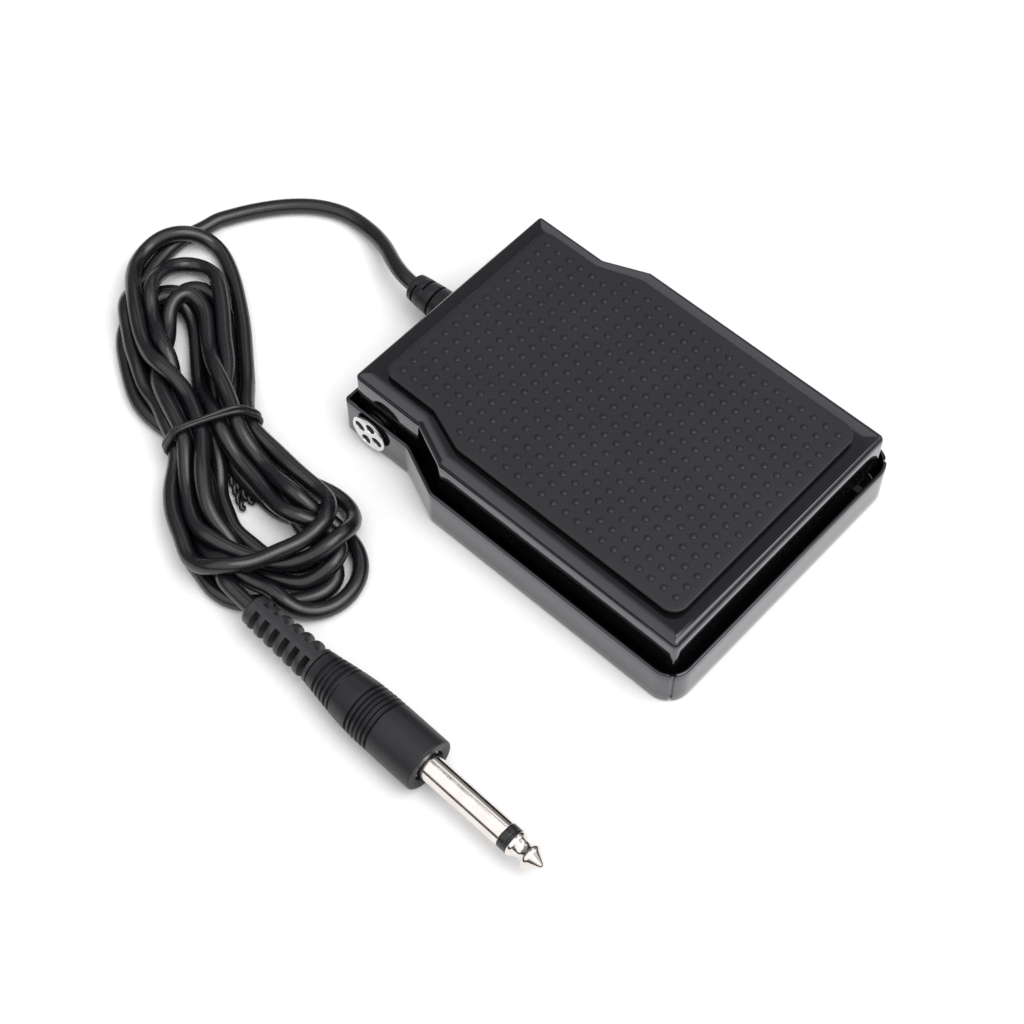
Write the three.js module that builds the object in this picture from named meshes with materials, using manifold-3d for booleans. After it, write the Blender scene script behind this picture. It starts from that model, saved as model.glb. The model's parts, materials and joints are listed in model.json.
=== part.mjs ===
// Sustain pedal: a stamped steel base pan, a hinged steel cover with a rubber pad, the switch and
// return spring inside, and a thin lead tied in a hank that ends in a 6.35 mm mono plug.
// Millimetres. The floor is z = 0, +Y points to the hinge and the lead, -Y to the wide front edge,
// and the origin is the middle of the base pan on the floor.
import * as THREE from 'three';
import * as BufferGeometryUtils from 'three/addons/utils/BufferGeometryUtils.js';
import Module from 'manifold-3d';

const wasm = await Module();
wasm.setup();

// ---- driving dimensions -------------------------------------------------------------------------
const GAP = 0.3;                 // clearance between pieces that touch
const SHEET = 1.0;               // steel sheet thickness
const BEND = 2.2;                // outer radius of the sheet's bends

const FOOT_HEIGHT = 1.2;
const BASE_BOTTOM = FOOT_HEIGHT + GAP;
const BASE_HEIGHT = 10.7;
const BASE_RIM = BASE_BOTTOM + BASE_HEIGHT;
const FLOOR_TOP = BASE_BOTTOM + SHEET;
const WALL_BOTTOM = 0.4;                     // the pan's wall comes down past its floor plate

const COVER_TOP = BASE_BOTTOM + 21.0;
const COVER_UNDER = COVER_TOP - SHEET;
const SKIRT_BOTTOM = BASE_RIM - 1.1;

// Plan outlines: half widths in front of and behind the flare, and the four y stations.
const BASE_PLAN = { front: 40.5, rear: 34.7, yFront: -54, flareFront: 20.4, flareRear: 33.4, yRear: 54,
  frontRadius: 6.5, rearRadius: 3 };
const COVER_PLAN = { front: 37.5, rear: 32.6, yFront: -51.3, flareFront: 19.8, flareRear: 31.0, yRear: 51.6,
  frontRadius: 3.2, rearRadius: 2 };
const PAD_PLAN = { front: 32.8, rear: 28.6, yFront: -47.0, flareFront: 18.6, flareRear: 29.8, yRear: 46.2,
  frontRadius: 4, rearRadius: 3.5 };
const PAD_THICKNESS = 1.9;
const PAD_BEVEL = 1.2;

const PIVOT_Y = 45.2;
const PIVOT_Z = 6.9;
const PIVOT_SHANK_RADIUS = 2.0;
const PIVOT_HEAD_RADIUS = 5.2;
const PIVOT_HEAD_HEIGHT = 2.2;
const EAR_RADIUS = 4.1;                      // the cover's ears round the hinge
const BUSH = { barrel: 3.0, flange: 4.0, flangeThickness: 0.5 };
const NUT = { acrossFlats: 7, thickness: 3 };

const SPRING_Y = -18;
const SPRING_RADIUS = 4.4;
const SPRING_WIRE_RADIUS = 0.6;
const SPRING_TURNS = 6;
const SPRING_CUP = { outer: 7.2, inner: 5.6, floor: 0.8, height: 3.6 };
const SPRING_BOSS = { flange: 6.2, thickness: 0.8, nose: 3.0, noseHeight: 3.2 };

const FOOT_CENTRES = [[-29, -43], [29, -43], [-25, 42.5], [25, 42.5]];
const FOOT_RADIUS = 6;
const BUMPER_CENTRES = [[-24, -40], [24, -40]];
const BUMPER = { radius: 4.5, top: 15.1 };   // the stop under the cover's front

const SWITCH_X = -12;
const SWITCH_SIZE = { x: 5.8, y: 12.8, z: 6.5 };
const SWITCH_Y = 11.4;
const SWITCH_TOP = 14.8;
const SWITCH_SCREW_YS = [8.2, 14.7];
const SWITCH_SCREW_Z = 10.0;
const LEVER_Y = 17.2;
const LEVER_Z = 15.7;
const LEVER_LENGTH = 18;
const LEVER_RISE_DEG = 7.6;
const PLUNGER_Y = 13.4;
const PLUNGER = { radius: 0.9, hole: 1.3 };
const TERMINAL_YS = [6.4, 11.4, 16.4];
const TERMINAL = { width: 1.6, thickness: 0.5, length: 3.5 };
const BRACKET = { thickness: 1.2, y0: 4, y1: 19, foot: 11 };
const SWITCH_SCREW = { shank: 1.0, head: 1.9, headHeight: 1.3 };
const RIVET_YS = [7.5, 15.5];
const RIVET_X = -22;
const RIVET = { shank: 1.5, head: 2.4 };

const GLAND_X = 3.3;
const GLAND_Z = 8.0;
const GLAND_END_Y = 67.4;
const GLAND = { neck: 3.2, flange: 4.6, body: 4.6, end: 3.45 };
const INNER_LEAD_Z = 5.2;
const CLAMP = { y0: 33, y1: 39, screwX: 8.2, screwY: 36, sheet: 0.8 };
const CLAMP_SCREW = { shank: 1.5, head: 2.8 };

const CORD_RADIUS = 2.0;

const TIE = { x: -61, y: 73 };               // middle of the tied waist of the hank
const HANK_AXIS = { x: 0.447, y: 0.8945 };   // from the lower lobe to the upper lobe
const HANK_HEIGHT = 11.6;
const TIE_LENGTH = 3.6;

const PLUG_X = -88.3;                        // at y = 0
const PLUG_YAW_DEG = 1.4;                    // the tip points this far out of -Y, towards -X
const PLUG_Z = 6.95;
const PLUG_Y = { reliefStart: 31.5, shellStart: 9.0, shellFront: -25.6, sleeveEnd: -47.2,
  insulatorEnd: -50.6, tip: -60.0 };
const SHELL_RADIUS = 6.75;
const SLEEVE_RADIUS = 3.175;

// The lead from the gland, down to the floor and round to the hank.
const LEAD_POINTS = [
  [3.3, 67.8, 8.0], [3.6, 71.2, 7.9], [5.5, 75.9, 7.1], [8.2, 81.0, 5.5], [10.5, 87.2, 3.9],
  [11.6, 93.6, 2.7], [11.0, 100.2, 2.2], [8.0, 106.9, 2.2], [3.2, 112.5, 2.2], [-3.0, 117.4, 2.2],
  [-9.2, 121.1, 2.2], [-13.8, 123.2, 2.2],
];
// The end of the cord from the hank into the plug.
const TAIL_POINTS = [
  [-86.9, 41.2, 6.95], [-87.2, 38.0, 6.95], [-87.4, 34.8, 6.95], [-87.5, 31.7, 6.95],
];

// ---- colours ------------------------------------------------------------------------------------
function finish(color, roughness, metalness) {
  return new THREE.MeshStandardMaterial({ color, roughness, metalness });
}

const PAINT = finish(0x141416, 0.25, 0.3);
const RUBBER = finish(0x242427, 0.75, 0);
const SOFT_PVC = finish(0x0e0e10, 0.45, 0);
const MOULDED = finish(0x1b1b1e, 0.6, 0);
const NICKEL = finish(0xd9d6cf, 0.2, 1);
const STEEL = finish(0x9c9ea2, 0.35, 1);
const BRASS = finish(0xb8954a, 0.35, 1);
const NYLON = finish(0xe6e4da, 0.5, 0);
const SWITCH_BLACK = finish(0x17171a, 0.5, 0);
const RED = finish(0x9c1f1c, 0.5, 0);

// ---- tools --------------------------------------------------------------------------------------
const object = new THREE.Group();

function addPart(name, geometry, material) {
  const mesh = new THREE.Mesh(geometry, material);
  mesh.name = name;
  object.add(mesh);
  return mesh;
}

function toSolid(geometry) {
  const bare = geometry.clone();
  bare.deleteAttribute('normal');
  bare.deleteAttribute('uv');
  const merged = BufferGeometryUtils.mergeVertices(bare, 1e-4);
  return new wasm.Manifold(new wasm.Mesh({
    numProp: 3,
    vertProperties: new Float32Array(merged.attributes.position.array),
    triVerts: new Uint32Array(merged.index.array),
  }));
}

function toGeometry(solid) {
  const mesh = solid.getMesh();
  const geometry = new THREE.BufferGeometry();
  geometry.setAttribute('position', new THREE.BufferAttribute(mesh.vertProperties, 3));
  geometry.setIndex(new THREE.BufferAttribute(mesh.triVerts, 1));
  return geometry;
}

function cut(geometry, tools) {
  return toGeometry(tools.reduce((solid, tool) => solid.subtract(toSolid(tool)), toSolid(geometry)));
}

function join(geometry, others) {
  return toGeometry(others.reduce((solid, other) => solid.add(toSolid(other)), toSolid(geometry)));
}

function box(x0, x1, y0, y1, z0, z1) {
  const geometry = new THREE.BoxGeometry(x1 - x0, y1 - y0, z1 - z0);
  return geometry.translate((x0 + x1) / 2, (y0 + y1) / 2, (z0 + z1) / 2);
}

// A turned piece from [radius, distance along the axis] pairs, as three.js turns it, about Y.
function turned(profile, sides = 24) {
  return new THREE.LatheGeometry(profile.map(([r, h]) => new THREE.Vector2(r, h)), sides);
}
const turnedAboutZ = (profile, sides) => turned(profile, sides).rotateX(Math.PI / 2);
const turnedAboutX = (profile, sides) => turned(profile, sides).rotateZ(-Math.PI / 2);

function rod(radius, start, end, sides = 20) {
  return turned([[0, start], [radius, start], [radius, end], [0, end]], sides);
}
const rodAlongZ = (radius, start, end, sides) => rod(radius, start, end, sides).rotateX(Math.PI / 2);
const rodAlongX = (radius, start, end, sides) => rod(radius, start, end, sides).rotateZ(-Math.PI / 2);

// A nut along X between two x stations.
function nutAlongX(acrossFlats, holeRadius, start, end) {
  const hexagon = rodAlongX(acrossFlats / Math.sqrt(3), start, end, 6);
  return cut(hexagon, [rodAlongX(holeRadius, start - 1, end + 1, 16)]);
}

// Extrudes an outline in the YZ plane along X.
function extrudedAlongX(points, x0, x1) {
  const shape = new THREE.Shape(points.map(([y, z]) => new THREE.Vector2(y, z)));
  const geometry = new THREE.ExtrudeGeometry(shape, { depth: x1 - x0, bevelEnabled: false });
  const axes = new THREE.Matrix4().makeBasis(
    new THREE.Vector3(0, 1, 0), new THREE.Vector3(0, 0, 1), new THREE.Vector3(1, 0, 0));
  return geometry.applyMatrix4(axes).translate(x0, 0, 0);
}

// Extrudes an outline in the XZ plane along Y.
function extrudedAlongY(points, y0, y1) {
  const shape = new THREE.Shape(points.map(([x, z]) => new THREE.Vector2(x, z)));
  const geometry = new THREE.ExtrudeGeometry(shape, { depth: y1 - y0, bevelEnabled: false });
  const axes = new THREE.Matrix4().makeBasis(
    new THREE.Vector3(1, 0, 0), new THREE.Vector3(0, 0, 1), new THREE.Vector3(0, -1, 0));
  return geometry.applyMatrix4(axes).translate(0, y1, 0);
}

function smoothCurve(points) {
  const knots = points.map((point) => new THREE.Vector3(...point));
  return new THREE.CatmullRomCurve3(knots, false, 'centripetal');
}

// A round cord or wire through a list of points.
function tube(points, radius, steps, sides = 8) {
  const section = new THREE.Shape();
  section.absarc(0, 0, radius, 0, 2 * Math.PI, false);
  return new THREE.ExtrudeGeometry(section, {
    steps, extrudePath: smoothCurve(points), curveSegments: sides / 2 });
}

// ---- plan outlines and the sheet trays made from them -----------------------------------------------

// The right half of a plan outline from the front to the rear: straight front, rounded corner,
// straight side, an S-shaped flare, straight side and a rounded rear corner.
function halfOutline(plan, inset) {
  const front = plan.front - inset;
  const rear = plan.rear - inset;
  const frontRadius = Math.max(plan.frontRadius - inset, 0.6);
  const rearRadius = Math.max(plan.rearRadius - inset, 0.6);
  const yFront = plan.yFront + inset;
  const yRear = plan.yRear - inset;
  const handle = (plan.flareRear - plan.flareFront) * 0.45;
  const points = [];
  const arc = (x, y, radius, from, to, steps) => {
    for (let i = 0; i <= steps; i += 1) {
      const angle = from + ((to - from) * i) / steps;
      points.push([x + radius * Math.cos(angle), y + radius * Math.sin(angle)]);
    }
  };
  arc(front - frontRadius, yFront + frontRadius, frontRadius, -Math.PI / 2, 0, 6);
  const flare = new THREE.CubicBezierCurve(
    new THREE.Vector2(front, plan.flareFront), new THREE.Vector2(front, plan.flareFront + handle),
    new THREE.Vector2(rear, plan.flareRear - handle), new THREE.Vector2(rear, plan.flareRear));
  flare.getPoints(8).forEach((point) => points.push([point.x, point.y]));
  arc(rear - rearRadius, yRear - rearRadius, rearRadius, 0, Math.PI / 2, 4);
  return points;
}

function outline(plan, inset) {
  const right = halfOutline(plan, inset);
  const left = right.map(([x, y]) => [-x, y]).reverse();
  return [...right, ...left];
}

// A closed body through stacked outlines, given as [inset, z] sections. The first and the last
// section are capped, so a tray's sections run up the outside, over the rim and down the inside.
function stacked(plan, sections) {
  const rings = sections.map(([inset, z]) => outline(plan, inset).map(([x, y]) => [x, y, z]));
  const count = rings[0].length;
  const capOf = (points) => THREE.ShapeUtils.triangulateShape(
    points.map(([x, y]) => new THREE.Vector2(x, y)), []);
  const indices = [];
  capOf(rings[0]).forEach(([a, b, c]) => indices.push(a, c, b));
  for (let level = 0; level + 1 < rings.length; level += 1) {
    for (let i = 0; i < count; i += 1) {
      const next = (i + 1) % count;
      const low = level * count;
      const high = low + count;
      indices.push(low + i, low + next, high + next);
      indices.push(low + i, high + next, high + i);
    }
  }
  const top = (rings.length - 1) * count;
  capOf(rings.at(-1)).forEach(([a, b, c]) => indices.push(top + a, top + b, top + c));
  const geometry = new THREE.BufferGeometry();
  geometry.setAttribute('position', new THREE.Float32BufferAttribute(rings.flat(2), 3));
  geometry.setIndex(indices);
  return geometry;
}

// [inset, z] sections of a quarter bend from the flat plate (0 degrees) to the wall (90 degrees).
function bend(radius, offset, plateZ, direction, steps = 3) {
  const sections = [];
  for (let i = 0; i <= steps; i += 1) {
    const angle = (Math.PI / 2) * (i / steps);
    const inset = offset + radius * (1 - Math.sin(angle));
    sections.push([inset, plateZ + direction * radius * (1 - Math.cos(angle))]);
  }
  return sections;
}

// ---- base pan -----------------------------------------------------------------------------------

function makeBasePan() {
  const tray = stacked(BASE_PLAN, [
    [SHEET, BASE_BOTTOM],
    [SHEET, WALL_BOTTOM],
    [0, WALL_BOTTOM],
    [0, BASE_RIM],
    [SHEET, BASE_RIM],
    ...bend(BEND - SHEET, SHEET, FLOOR_TOP, 1).reverse(),
  ]);
  const pivotHole = rodAlongX(PIVOT_SHANK_RADIUS + GAP, -60, 60).translate(0, PIVOT_Y, PIVOT_Z);
  const glandHole = rod(GLAND.neck + GAP, -5, 5).translate(GLAND_X, BASE_PLAN.yRear, GLAND_Z);
  const rivetHoles = RIVET_YS.map((y) => rodAlongZ(RIVET.shank + GAP, 0, 6, 12).translate(RIVET_X, y, 0));
  const clampHole = rodAlongZ(CLAMP_SCREW.shank + GAP, 0, 6, 12).translate(CLAMP.screwX, CLAMP.screwY, 0);
  addPart('base_pan', cut(tray, [pivotHole, glandHole, ...rivetHoles, clampHole]), PAINT);
}

function makeFeet() {
  FOOT_CENTRES.forEach(([x, y], index) => {
    const foot = turnedAboutZ([[0, 0], [FOOT_RADIUS - 0.4, 0], [FOOT_RADIUS, 0.4],
      [FOOT_RADIUS, FOOT_HEIGHT], [0, FOOT_HEIGHT]]);
    addPart(`foot_${index + 1}`, foot, RUBBER).position.set(x, y, 0);
  });
}

// ---- cover and pad ------------------------------------------------------------------------------
function makeTopCover() {
  const tray = stacked(COVER_PLAN, [
    ...bend(BEND - SHEET, SHEET, COVER_UNDER, -1),
    [SHEET, SKIRT_BOTTOM],
    [0, SKIRT_BOTTOM],
    ...bend(BEND, 0, COVER_TOP, -1).reverse(),
  ]);
  const ears = [-1, 1].map((side) => {
    const inner = side * (COVER_PLAN.rear - SHEET);
    const outer = side * COVER_PLAN.rear;
    const outlinePoints = [[PIVOT_Y - EAR_RADIUS, SKIRT_BOTTOM + 1], [PIVOT_Y - EAR_RADIUS, PIVOT_Z]];
    for (let i = 1; i < 10; i += 1) {
      const angle = Math.PI + (Math.PI * i) / 10;
      outlinePoints.push([PIVOT_Y + EAR_RADIUS * Math.cos(angle), PIVOT_Z + EAR_RADIUS * Math.sin(angle)]);
    }
    outlinePoints.push([PIVOT_Y + EAR_RADIUS, PIVOT_Z], [PIVOT_Y + EAR_RADIUS, SKIRT_BOTTOM + 1]);
    return extrudedAlongX(outlinePoints, Math.min(inner, outer), Math.max(inner, outer));
  });
  const bushHole = rodAlongX(BUSH.barrel + GAP, -60, 60).translate(0, PIVOT_Y, PIVOT_Z);
  const glandNotch = box(GLAND_X - 6, GLAND_X + 6, 48, 56, SKIRT_BOTTOM - 2, GLAND_Z + GLAND.flange + 1);
  addPart('top_cover', cut(join(tray, ears), [bushHole, glandNotch]), PAINT);
}

function makeRubberPad() {
  const bottom = COVER_TOP + GAP;
  addPart('rubber_pad', stacked(PAD_PLAN, [
    [0, bottom],
    [0.15, bottom + PAD_THICKNESS * 0.35],
    [PAD_BEVEL, bottom + PAD_THICKNESS],
  ]), RUBBER);
}

// ---- hinge --------------------------------------------------------------------------------------
function makePivots() {
  const wall = BASE_PLAN.rear;
  const ear = COVER_PLAN.rear;
  const nutOuter = ear - SHEET - GAP;
  const nutInner = nutOuter - NUT.thickness;
  ['right', 'left'].forEach((side) => {
    const turn = side === 'right' ? 0 : Math.PI;
    const place = (mesh) => {
      mesh.position.set(0, PIVOT_Y, PIVOT_Z);
      mesh.rotation.z = turn;
    };
    const head = wall + GAP;
    const screw = turnedAboutX([[0, nutInner - 1], [PIVOT_SHANK_RADIUS, nutInner - 1],
      [PIVOT_SHANK_RADIUS, head], [PIVOT_HEAD_RADIUS, head],
      [PIVOT_HEAD_RADIUS, head + PIVOT_HEAD_HEIGHT * 0.35],
      [PIVOT_HEAD_RADIUS * 0.84, head + PIVOT_HEAD_HEIGHT * 0.75],
      [PIVOT_HEAD_RADIUS * 0.5, head + PIVOT_HEAD_HEIGHT * 0.95], [0, head + PIVOT_HEAD_HEIGHT]]);
    place(addPart(`pivot_screw_${side}`, screw, NICKEL));
    const hole = PIVOT_SHANK_RADIUS + GAP;
    const start = ear - SHEET;
    const flangeIn = ear + 0.2;
    const flangeOut = flangeIn + BUSH.flangeThickness;
    const bush = turnedAboutX([[hole, start], [BUSH.barrel, start], [BUSH.barrel, flangeIn],
      [BUSH.flange, flangeIn], [BUSH.flange, flangeOut], [hole, flangeOut], [hole, start]], 20);
    place(addPart(`pivot_bush_${side}`, bush, SWITCH_BLACK));
    place(addPart(`pivot_nut_${side}`, nutAlongX(NUT.acrossFlats, hole, nutInner, nutOuter), STEEL));
  });
}

// ---- return spring and stops --------------------------------------------------------------------
function makeSpring() {
  const cupBottom = FLOOR_TOP + GAP;
  const cup = turnedAboutZ([[0, cupBottom], [SPRING_CUP.outer, cupBottom],
    [SPRING_CUP.outer, cupBottom + SPRING_CUP.height], [SPRING_CUP.inner, cupBottom + SPRING_CUP.height],
    [SPRING_CUP.inner, cupBottom + SPRING_CUP.floor], [0, cupBottom + SPRING_CUP.floor]]);
  addPart('spring_cup', cup, STEEL).position.y = SPRING_Y;

  const bossTop = COVER_UNDER - GAP;
  const bossFace = bossTop - SPRING_BOSS.thickness;
  const boss = turnedAboutZ([[0, bossFace - SPRING_BOSS.noseHeight],
    [SPRING_BOSS.nose - 0.6, bossFace - SPRING_BOSS.noseHeight], [SPRING_BOSS.nose, bossFace - 2.6],
    [SPRING_BOSS.nose, bossFace], [SPRING_BOSS.flange, bossFace], [SPRING_BOSS.flange, bossTop],
    [0, bossTop]]);
  addPart('spring_boss', boss, STEEL).position.y = SPRING_Y;

  const start = cupBottom + SPRING_CUP.floor + GAP + SPRING_WIRE_RADIUS;
  const end = bossFace - GAP - SPRING_WIRE_RADIUS;
  const points = [];
  const perTurn = 12;
  for (let i = 0; i <= SPRING_TURNS * perTurn; i += 1) {
    const angle = (2 * Math.PI * i) / perTurn;
    const share = i / (SPRING_TURNS * perTurn);
    const height = start + (end - start) * share;
    points.push([SPRING_RADIUS * Math.cos(angle), SPRING_RADIUS * Math.sin(angle), height]);
  }
  const spring = tube(points, SPRING_WIRE_RADIUS, SPRING_TURNS * 10, 6);
  addPart('return_spring', spring, STEEL).position.y = SPRING_Y;
}

function makeBumpers() {
  BUMPER_CENTRES.forEach(([x, y], index) => {
    const bottom = FLOOR_TOP + GAP;
    const bumper = turnedAboutZ([[0, bottom], [BUMPER.radius + 1, bottom], [BUMPER.radius + 1, bottom + 1.6],
      [BUMPER.radius, bottom + 2.4], [BUMPER.radius - 0.6, BUMPER.top - 0.8],
      [BUMPER.radius - 1.4, BUMPER.top], [0, BUMPER.top]]);
    addPart(`bumper_${index === 0 ? 'left' : 'right'}`, bumper, RUBBER).position.set(x, y, 0);
  });
}

// ---- switch -------------------------------------------------------------------------------------
function makeSwitch() {
  const halfX = SWITCH_SIZE.x / 2;
  const bottom = SWITCH_TOP - SWITCH_SIZE.z;
  const body = box(SWITCH_X - halfX, SWITCH_X + halfX, SWITCH_Y - SWITCH_SIZE.y / 2,
    SWITCH_Y + SWITCH_SIZE.y / 2, bottom, SWITCH_TOP);
  const screwHoles = SWITCH_SCREW_YS.map((y) => rodAlongX(SWITCH_SCREW.shank + GAP, -30, 0, 12)
    .translate(0, y, SWITCH_SCREW_Z));
  const plungerHole = rodAlongZ(PLUNGER.hole, SWITCH_TOP - 1.9, SWITCH_TOP + 1, 12)
    .translate(SWITCH_X, PLUNGER_Y, 0);
  addPart('micro_switch', cut(body, [...screwHoles, plungerHole]), SWITCH_BLACK);

  const plunger = rodAlongZ(PLUNGER.radius, SWITCH_TOP - 1.0, SWITCH_TOP + 1.05, 12);
  addPart('switch_plunger', plunger, NYLON).position.set(SWITCH_X, PLUNGER_Y, 0);

  TERMINAL_YS.forEach((y, index) => {
    const top = bottom - GAP;
    const terminal = new THREE.BoxGeometry(TERMINAL.width, TERMINAL.thickness, TERMINAL.length);
    const mesh = addPart(`switch_terminal_${index + 1}`, terminal, BRASS);
    mesh.position.set(SWITCH_X, y, top - TERMINAL.length / 2);
  });

  const wallFace = SWITCH_X - halfX - GAP;
  const footTop = FLOOR_TOP + GAP + BRACKET.thickness;
  const bracketOutline = [[wallFace, FLOOR_TOP + GAP], [wallFace, SWITCH_TOP - 1],
    [wallFace - BRACKET.thickness, SWITCH_TOP - 1], [wallFace - BRACKET.thickness, footTop],
    [wallFace - BRACKET.foot, footTop], [wallFace - BRACKET.foot, FLOOR_TOP + GAP]];
  const bracket = extrudedAlongY(bracketOutline, BRACKET.y0, BRACKET.y1);
  const rivetHoles = RIVET_YS.map((y) => rodAlongZ(RIVET.shank + GAP, 0, 8, 12).translate(RIVET_X, y, 0));
  addPart('switch_bracket', cut(bracket, [...screwHoles, ...rivetHoles]), STEEL);

  RIVET_YS.forEach((y, index) => {
    const low = BASE_BOTTOM - GAP;
    const high = footTop + GAP;
    const rivet = turnedAboutZ([[0, low - 0.7], [RIVET.head, low - 0.7], [RIVET.head, low],
      [RIVET.shank, low], [RIVET.shank, high], [RIVET.head, high], [RIVET.head * 0.8, high + 0.8],
      [0, high + 1.1]], 16);
    addPart(`bracket_rivet_${index + 1}`, rivet, STEEL).position.set(RIVET_X, y, 0);
  });

  SWITCH_SCREW_YS.forEach((y, index) => {
    const head = SWITCH_X + halfX + GAP;
    const tail = wallFace - BRACKET.thickness - 2.6;
    const screw = turnedAboutX([[0, tail], [SWITCH_SCREW.shank, tail], [SWITCH_SCREW.shank, head],
      [SWITCH_SCREW.head, head], [SWITCH_SCREW.head * 0.8, head + SWITCH_SCREW.headHeight],
      [0, head + SWITCH_SCREW.headHeight]], 16);
    addPart(`switch_screw_${index + 1}`, screw, STEEL).position.set(0, y, SWITCH_SCREW_Z);
    const nutFace = wallFace - BRACKET.thickness - GAP;
    const nut = nutAlongX(4, SWITCH_SCREW.shank + GAP, nutFace - 1.6, nutFace);
    addPart(`switch_nut_${index + 1}`, nut, STEEL).position.set(0, y, SWITCH_SCREW_Z);
  });
}

function makeLever() {
  const rise = THREE.MathUtils.degToRad(LEVER_RISE_DEG);
  const half = 0.2;
  const eye = [];
  for (let i = 0; i <= 10; i += 1) {
    const angle = -Math.PI / 2 + (Math.PI * i) / 10;
    eye.push([0.6 * Math.cos(angle), 0.6 * Math.sin(angle)]);
  }
  const blade = [...eye, [-0.5, half], [-LEVER_LENGTH, half], [-LEVER_LENGTH, -half], [-0.5, -half]];
  const lever = addPart('switch_lever', extrudedAlongX(blade, -1.8, 1.8), STEEL);
  lever.position.set(SWITCH_X, LEVER_Y, LEVER_Z);
  lever.rotation.x = -rise;
}

function makeActuatorTab() {
  const top = COVER_UNDER - GAP;
  const reach = 18.5;
  const angle = [[-0.5, reach], [0.5, reach], [0.5, top - 1], [9, top - 1], [9, top], [-0.5, top]];
  const tab = extrudedAlongX(angle, SWITCH_X - 3.5, SWITCH_X + 3.5);
  addPart('actuator_tab', tab, STEEL);
}

// ---- cable entry --------------------------------------------------------------------------------
function makeGland() {
  const wallOut = BASE_PLAN.yRear + GAP;
  const wallIn = BASE_PLAN.yRear - SHEET - GAP;
  const end = GLAND_END_Y;
  const gland = turned([[0, wallIn - 1.5], [GLAND.flange, wallIn - 1.5], [GLAND.flange, wallIn],
    [GLAND.neck, wallIn], [GLAND.neck, wallOut], [GLAND.body, wallOut], [GLAND.body, wallOut + 4.2],
    [GLAND.neck, wallOut + 4.4], [GLAND.neck, wallOut + 5.6], [GLAND.body - 0.5, wallOut + 5.8],
    [GLAND.body - 0.7, wallOut + 8.2], [GLAND.neck - 0.3, wallOut + 8.4], [GLAND.neck - 0.3, wallOut + 9.4],
    [GLAND.end + 0.2, wallOut + 9.6], [GLAND.end, end - 0.6], [GLAND.end - 0.6, end], [0, end]]);
  addPart('cable_gland', gland, SOFT_PVC).position.set(GLAND_X, 0, GLAND_Z);
}

function makeInnerCable() {
  const start = BASE_PLAN.yRear - SHEET - GAP - 1.5 - GAP;
  const inner = [[GLAND_X, start, GLAND_Z], [GLAND_X - 0.2, start - 3, GLAND_Z - 0.3],
    [GLAND_X - 1.8, start - 7, GLAND_Z - 1.8], [0, CLAMP.y1 + 1, INNER_LEAD_Z],
    [0, CLAMP.y1 - 4, INNER_LEAD_Z], [0, CLAMP.y0 - 1, INNER_LEAD_Z]];
  addPart('inner_lead', tube(inner, CORD_RADIUS, 10, 10), SOFT_PVC);

  const wireStart = CLAMP.y0 - 1 - GAP;
  const signal = [[-0.8, wireStart, INNER_LEAD_Z], [-2.2, 27.5, 5.4], [-7, 22.5, 6.0], [-12, 19.8, 6.2],
    [SWITCH_X, 17.4, 6.2]];
  addPart('wire_signal', tube(signal, 0.5, 14, 8), RED);
  const common = [[0.8, wireStart, INNER_LEAD_Z], [0.6, 26, 5.2], [-3.5, 19, 5.0], [-7.5, 14, 5.6],
    [SWITCH_X + 1.4, 11.4, 6.2]];
  addPart('wire_common', tube(common, 0.5, 16, 8), SOFT_PVC);
}

function makeCableClamp() {
  const inner = CORD_RADIUS + GAP;
  const outer = inner + CLAMP.sheet;
  const footBottom = FLOOR_TOP + GAP;
  const points = [];
  const arc = (radius, from, to) => {
    for (let i = 0; i <= 12; i += 1) {
      const angle = from + ((to - from) * i) / 12;
      points.push([radius * Math.cos(angle), INNER_LEAD_Z + radius * Math.sin(angle)]);
    }
  };
  arc(inner, 0, Math.PI);
  points.push([-inner, footBottom], [-outer, footBottom]);
  arc(outer, Math.PI, 0);
  const footTop = footBottom + CLAMP.sheet;
  points.push([outer, footTop], [12, footTop], [12, footBottom], [inner, footBottom]);
  const hole = rodAlongZ(CLAMP_SCREW.shank + GAP, 0, 8, 12).translate(CLAMP.screwX, CLAMP.screwY, 0);
  addPart('cable_clamp', cut(extrudedAlongY(points, CLAMP.y0, CLAMP.y1), [hole]), STEEL);

  const head = footTop + GAP;
  const screw = turnedAboutZ([[0, BASE_BOTTOM], [CLAMP_SCREW.shank, BASE_BOTTOM],
    [CLAMP_SCREW.shank, head], [CLAMP_SCREW.head, head], [CLAMP_SCREW.head, head + 0.9],
    [CLAMP_SCREW.head * 0.6, head + 1.8], [0, head + 1.9]], 16);
  addPart('clamp_screw', screw, NICKEL).position.set(CLAMP.screwX, CLAMP.screwY, 0);
}

// ---- lead ---------------------------------------------------------------------------------------
function makeLead() {
  const steps = Math.round(smoothCurve(LEAD_POINTS).getLength() / 9);
  addPart('cord_lead', tube(LEAD_POINTS, CORD_RADIUS, steps), SOFT_PVC);
  addPart('cord_tail', tube(TAIL_POINTS, CORD_RADIUS, 4), SOFT_PVC);
}

// The hank is an eight without the crossing: two round-ended lobes and a tied waist between them.
// [distance along the hank, left edge, right edge] from the tie.
const HANK_WIDTHS = [
  [65.8, 5, 12.5], [63, -1.5, 17.2], [57, -7.5, 20.6], [47, -11.8, 21.6], [34, -14.4, 20], [20, -14.6, 16],
  [8, -12.4, 12.6], [0, -11.4, 11.8], [-8, -12.2, 13.2], [-18, -15.4, 19.6], [-30, -16.6, 24.6],
  [-35, -12.5, 26.6], [-40, -5.5, 27.4], [-48, -1, 25.6], [-53, 6, 21], [-55.5, 11, 17],
];

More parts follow.
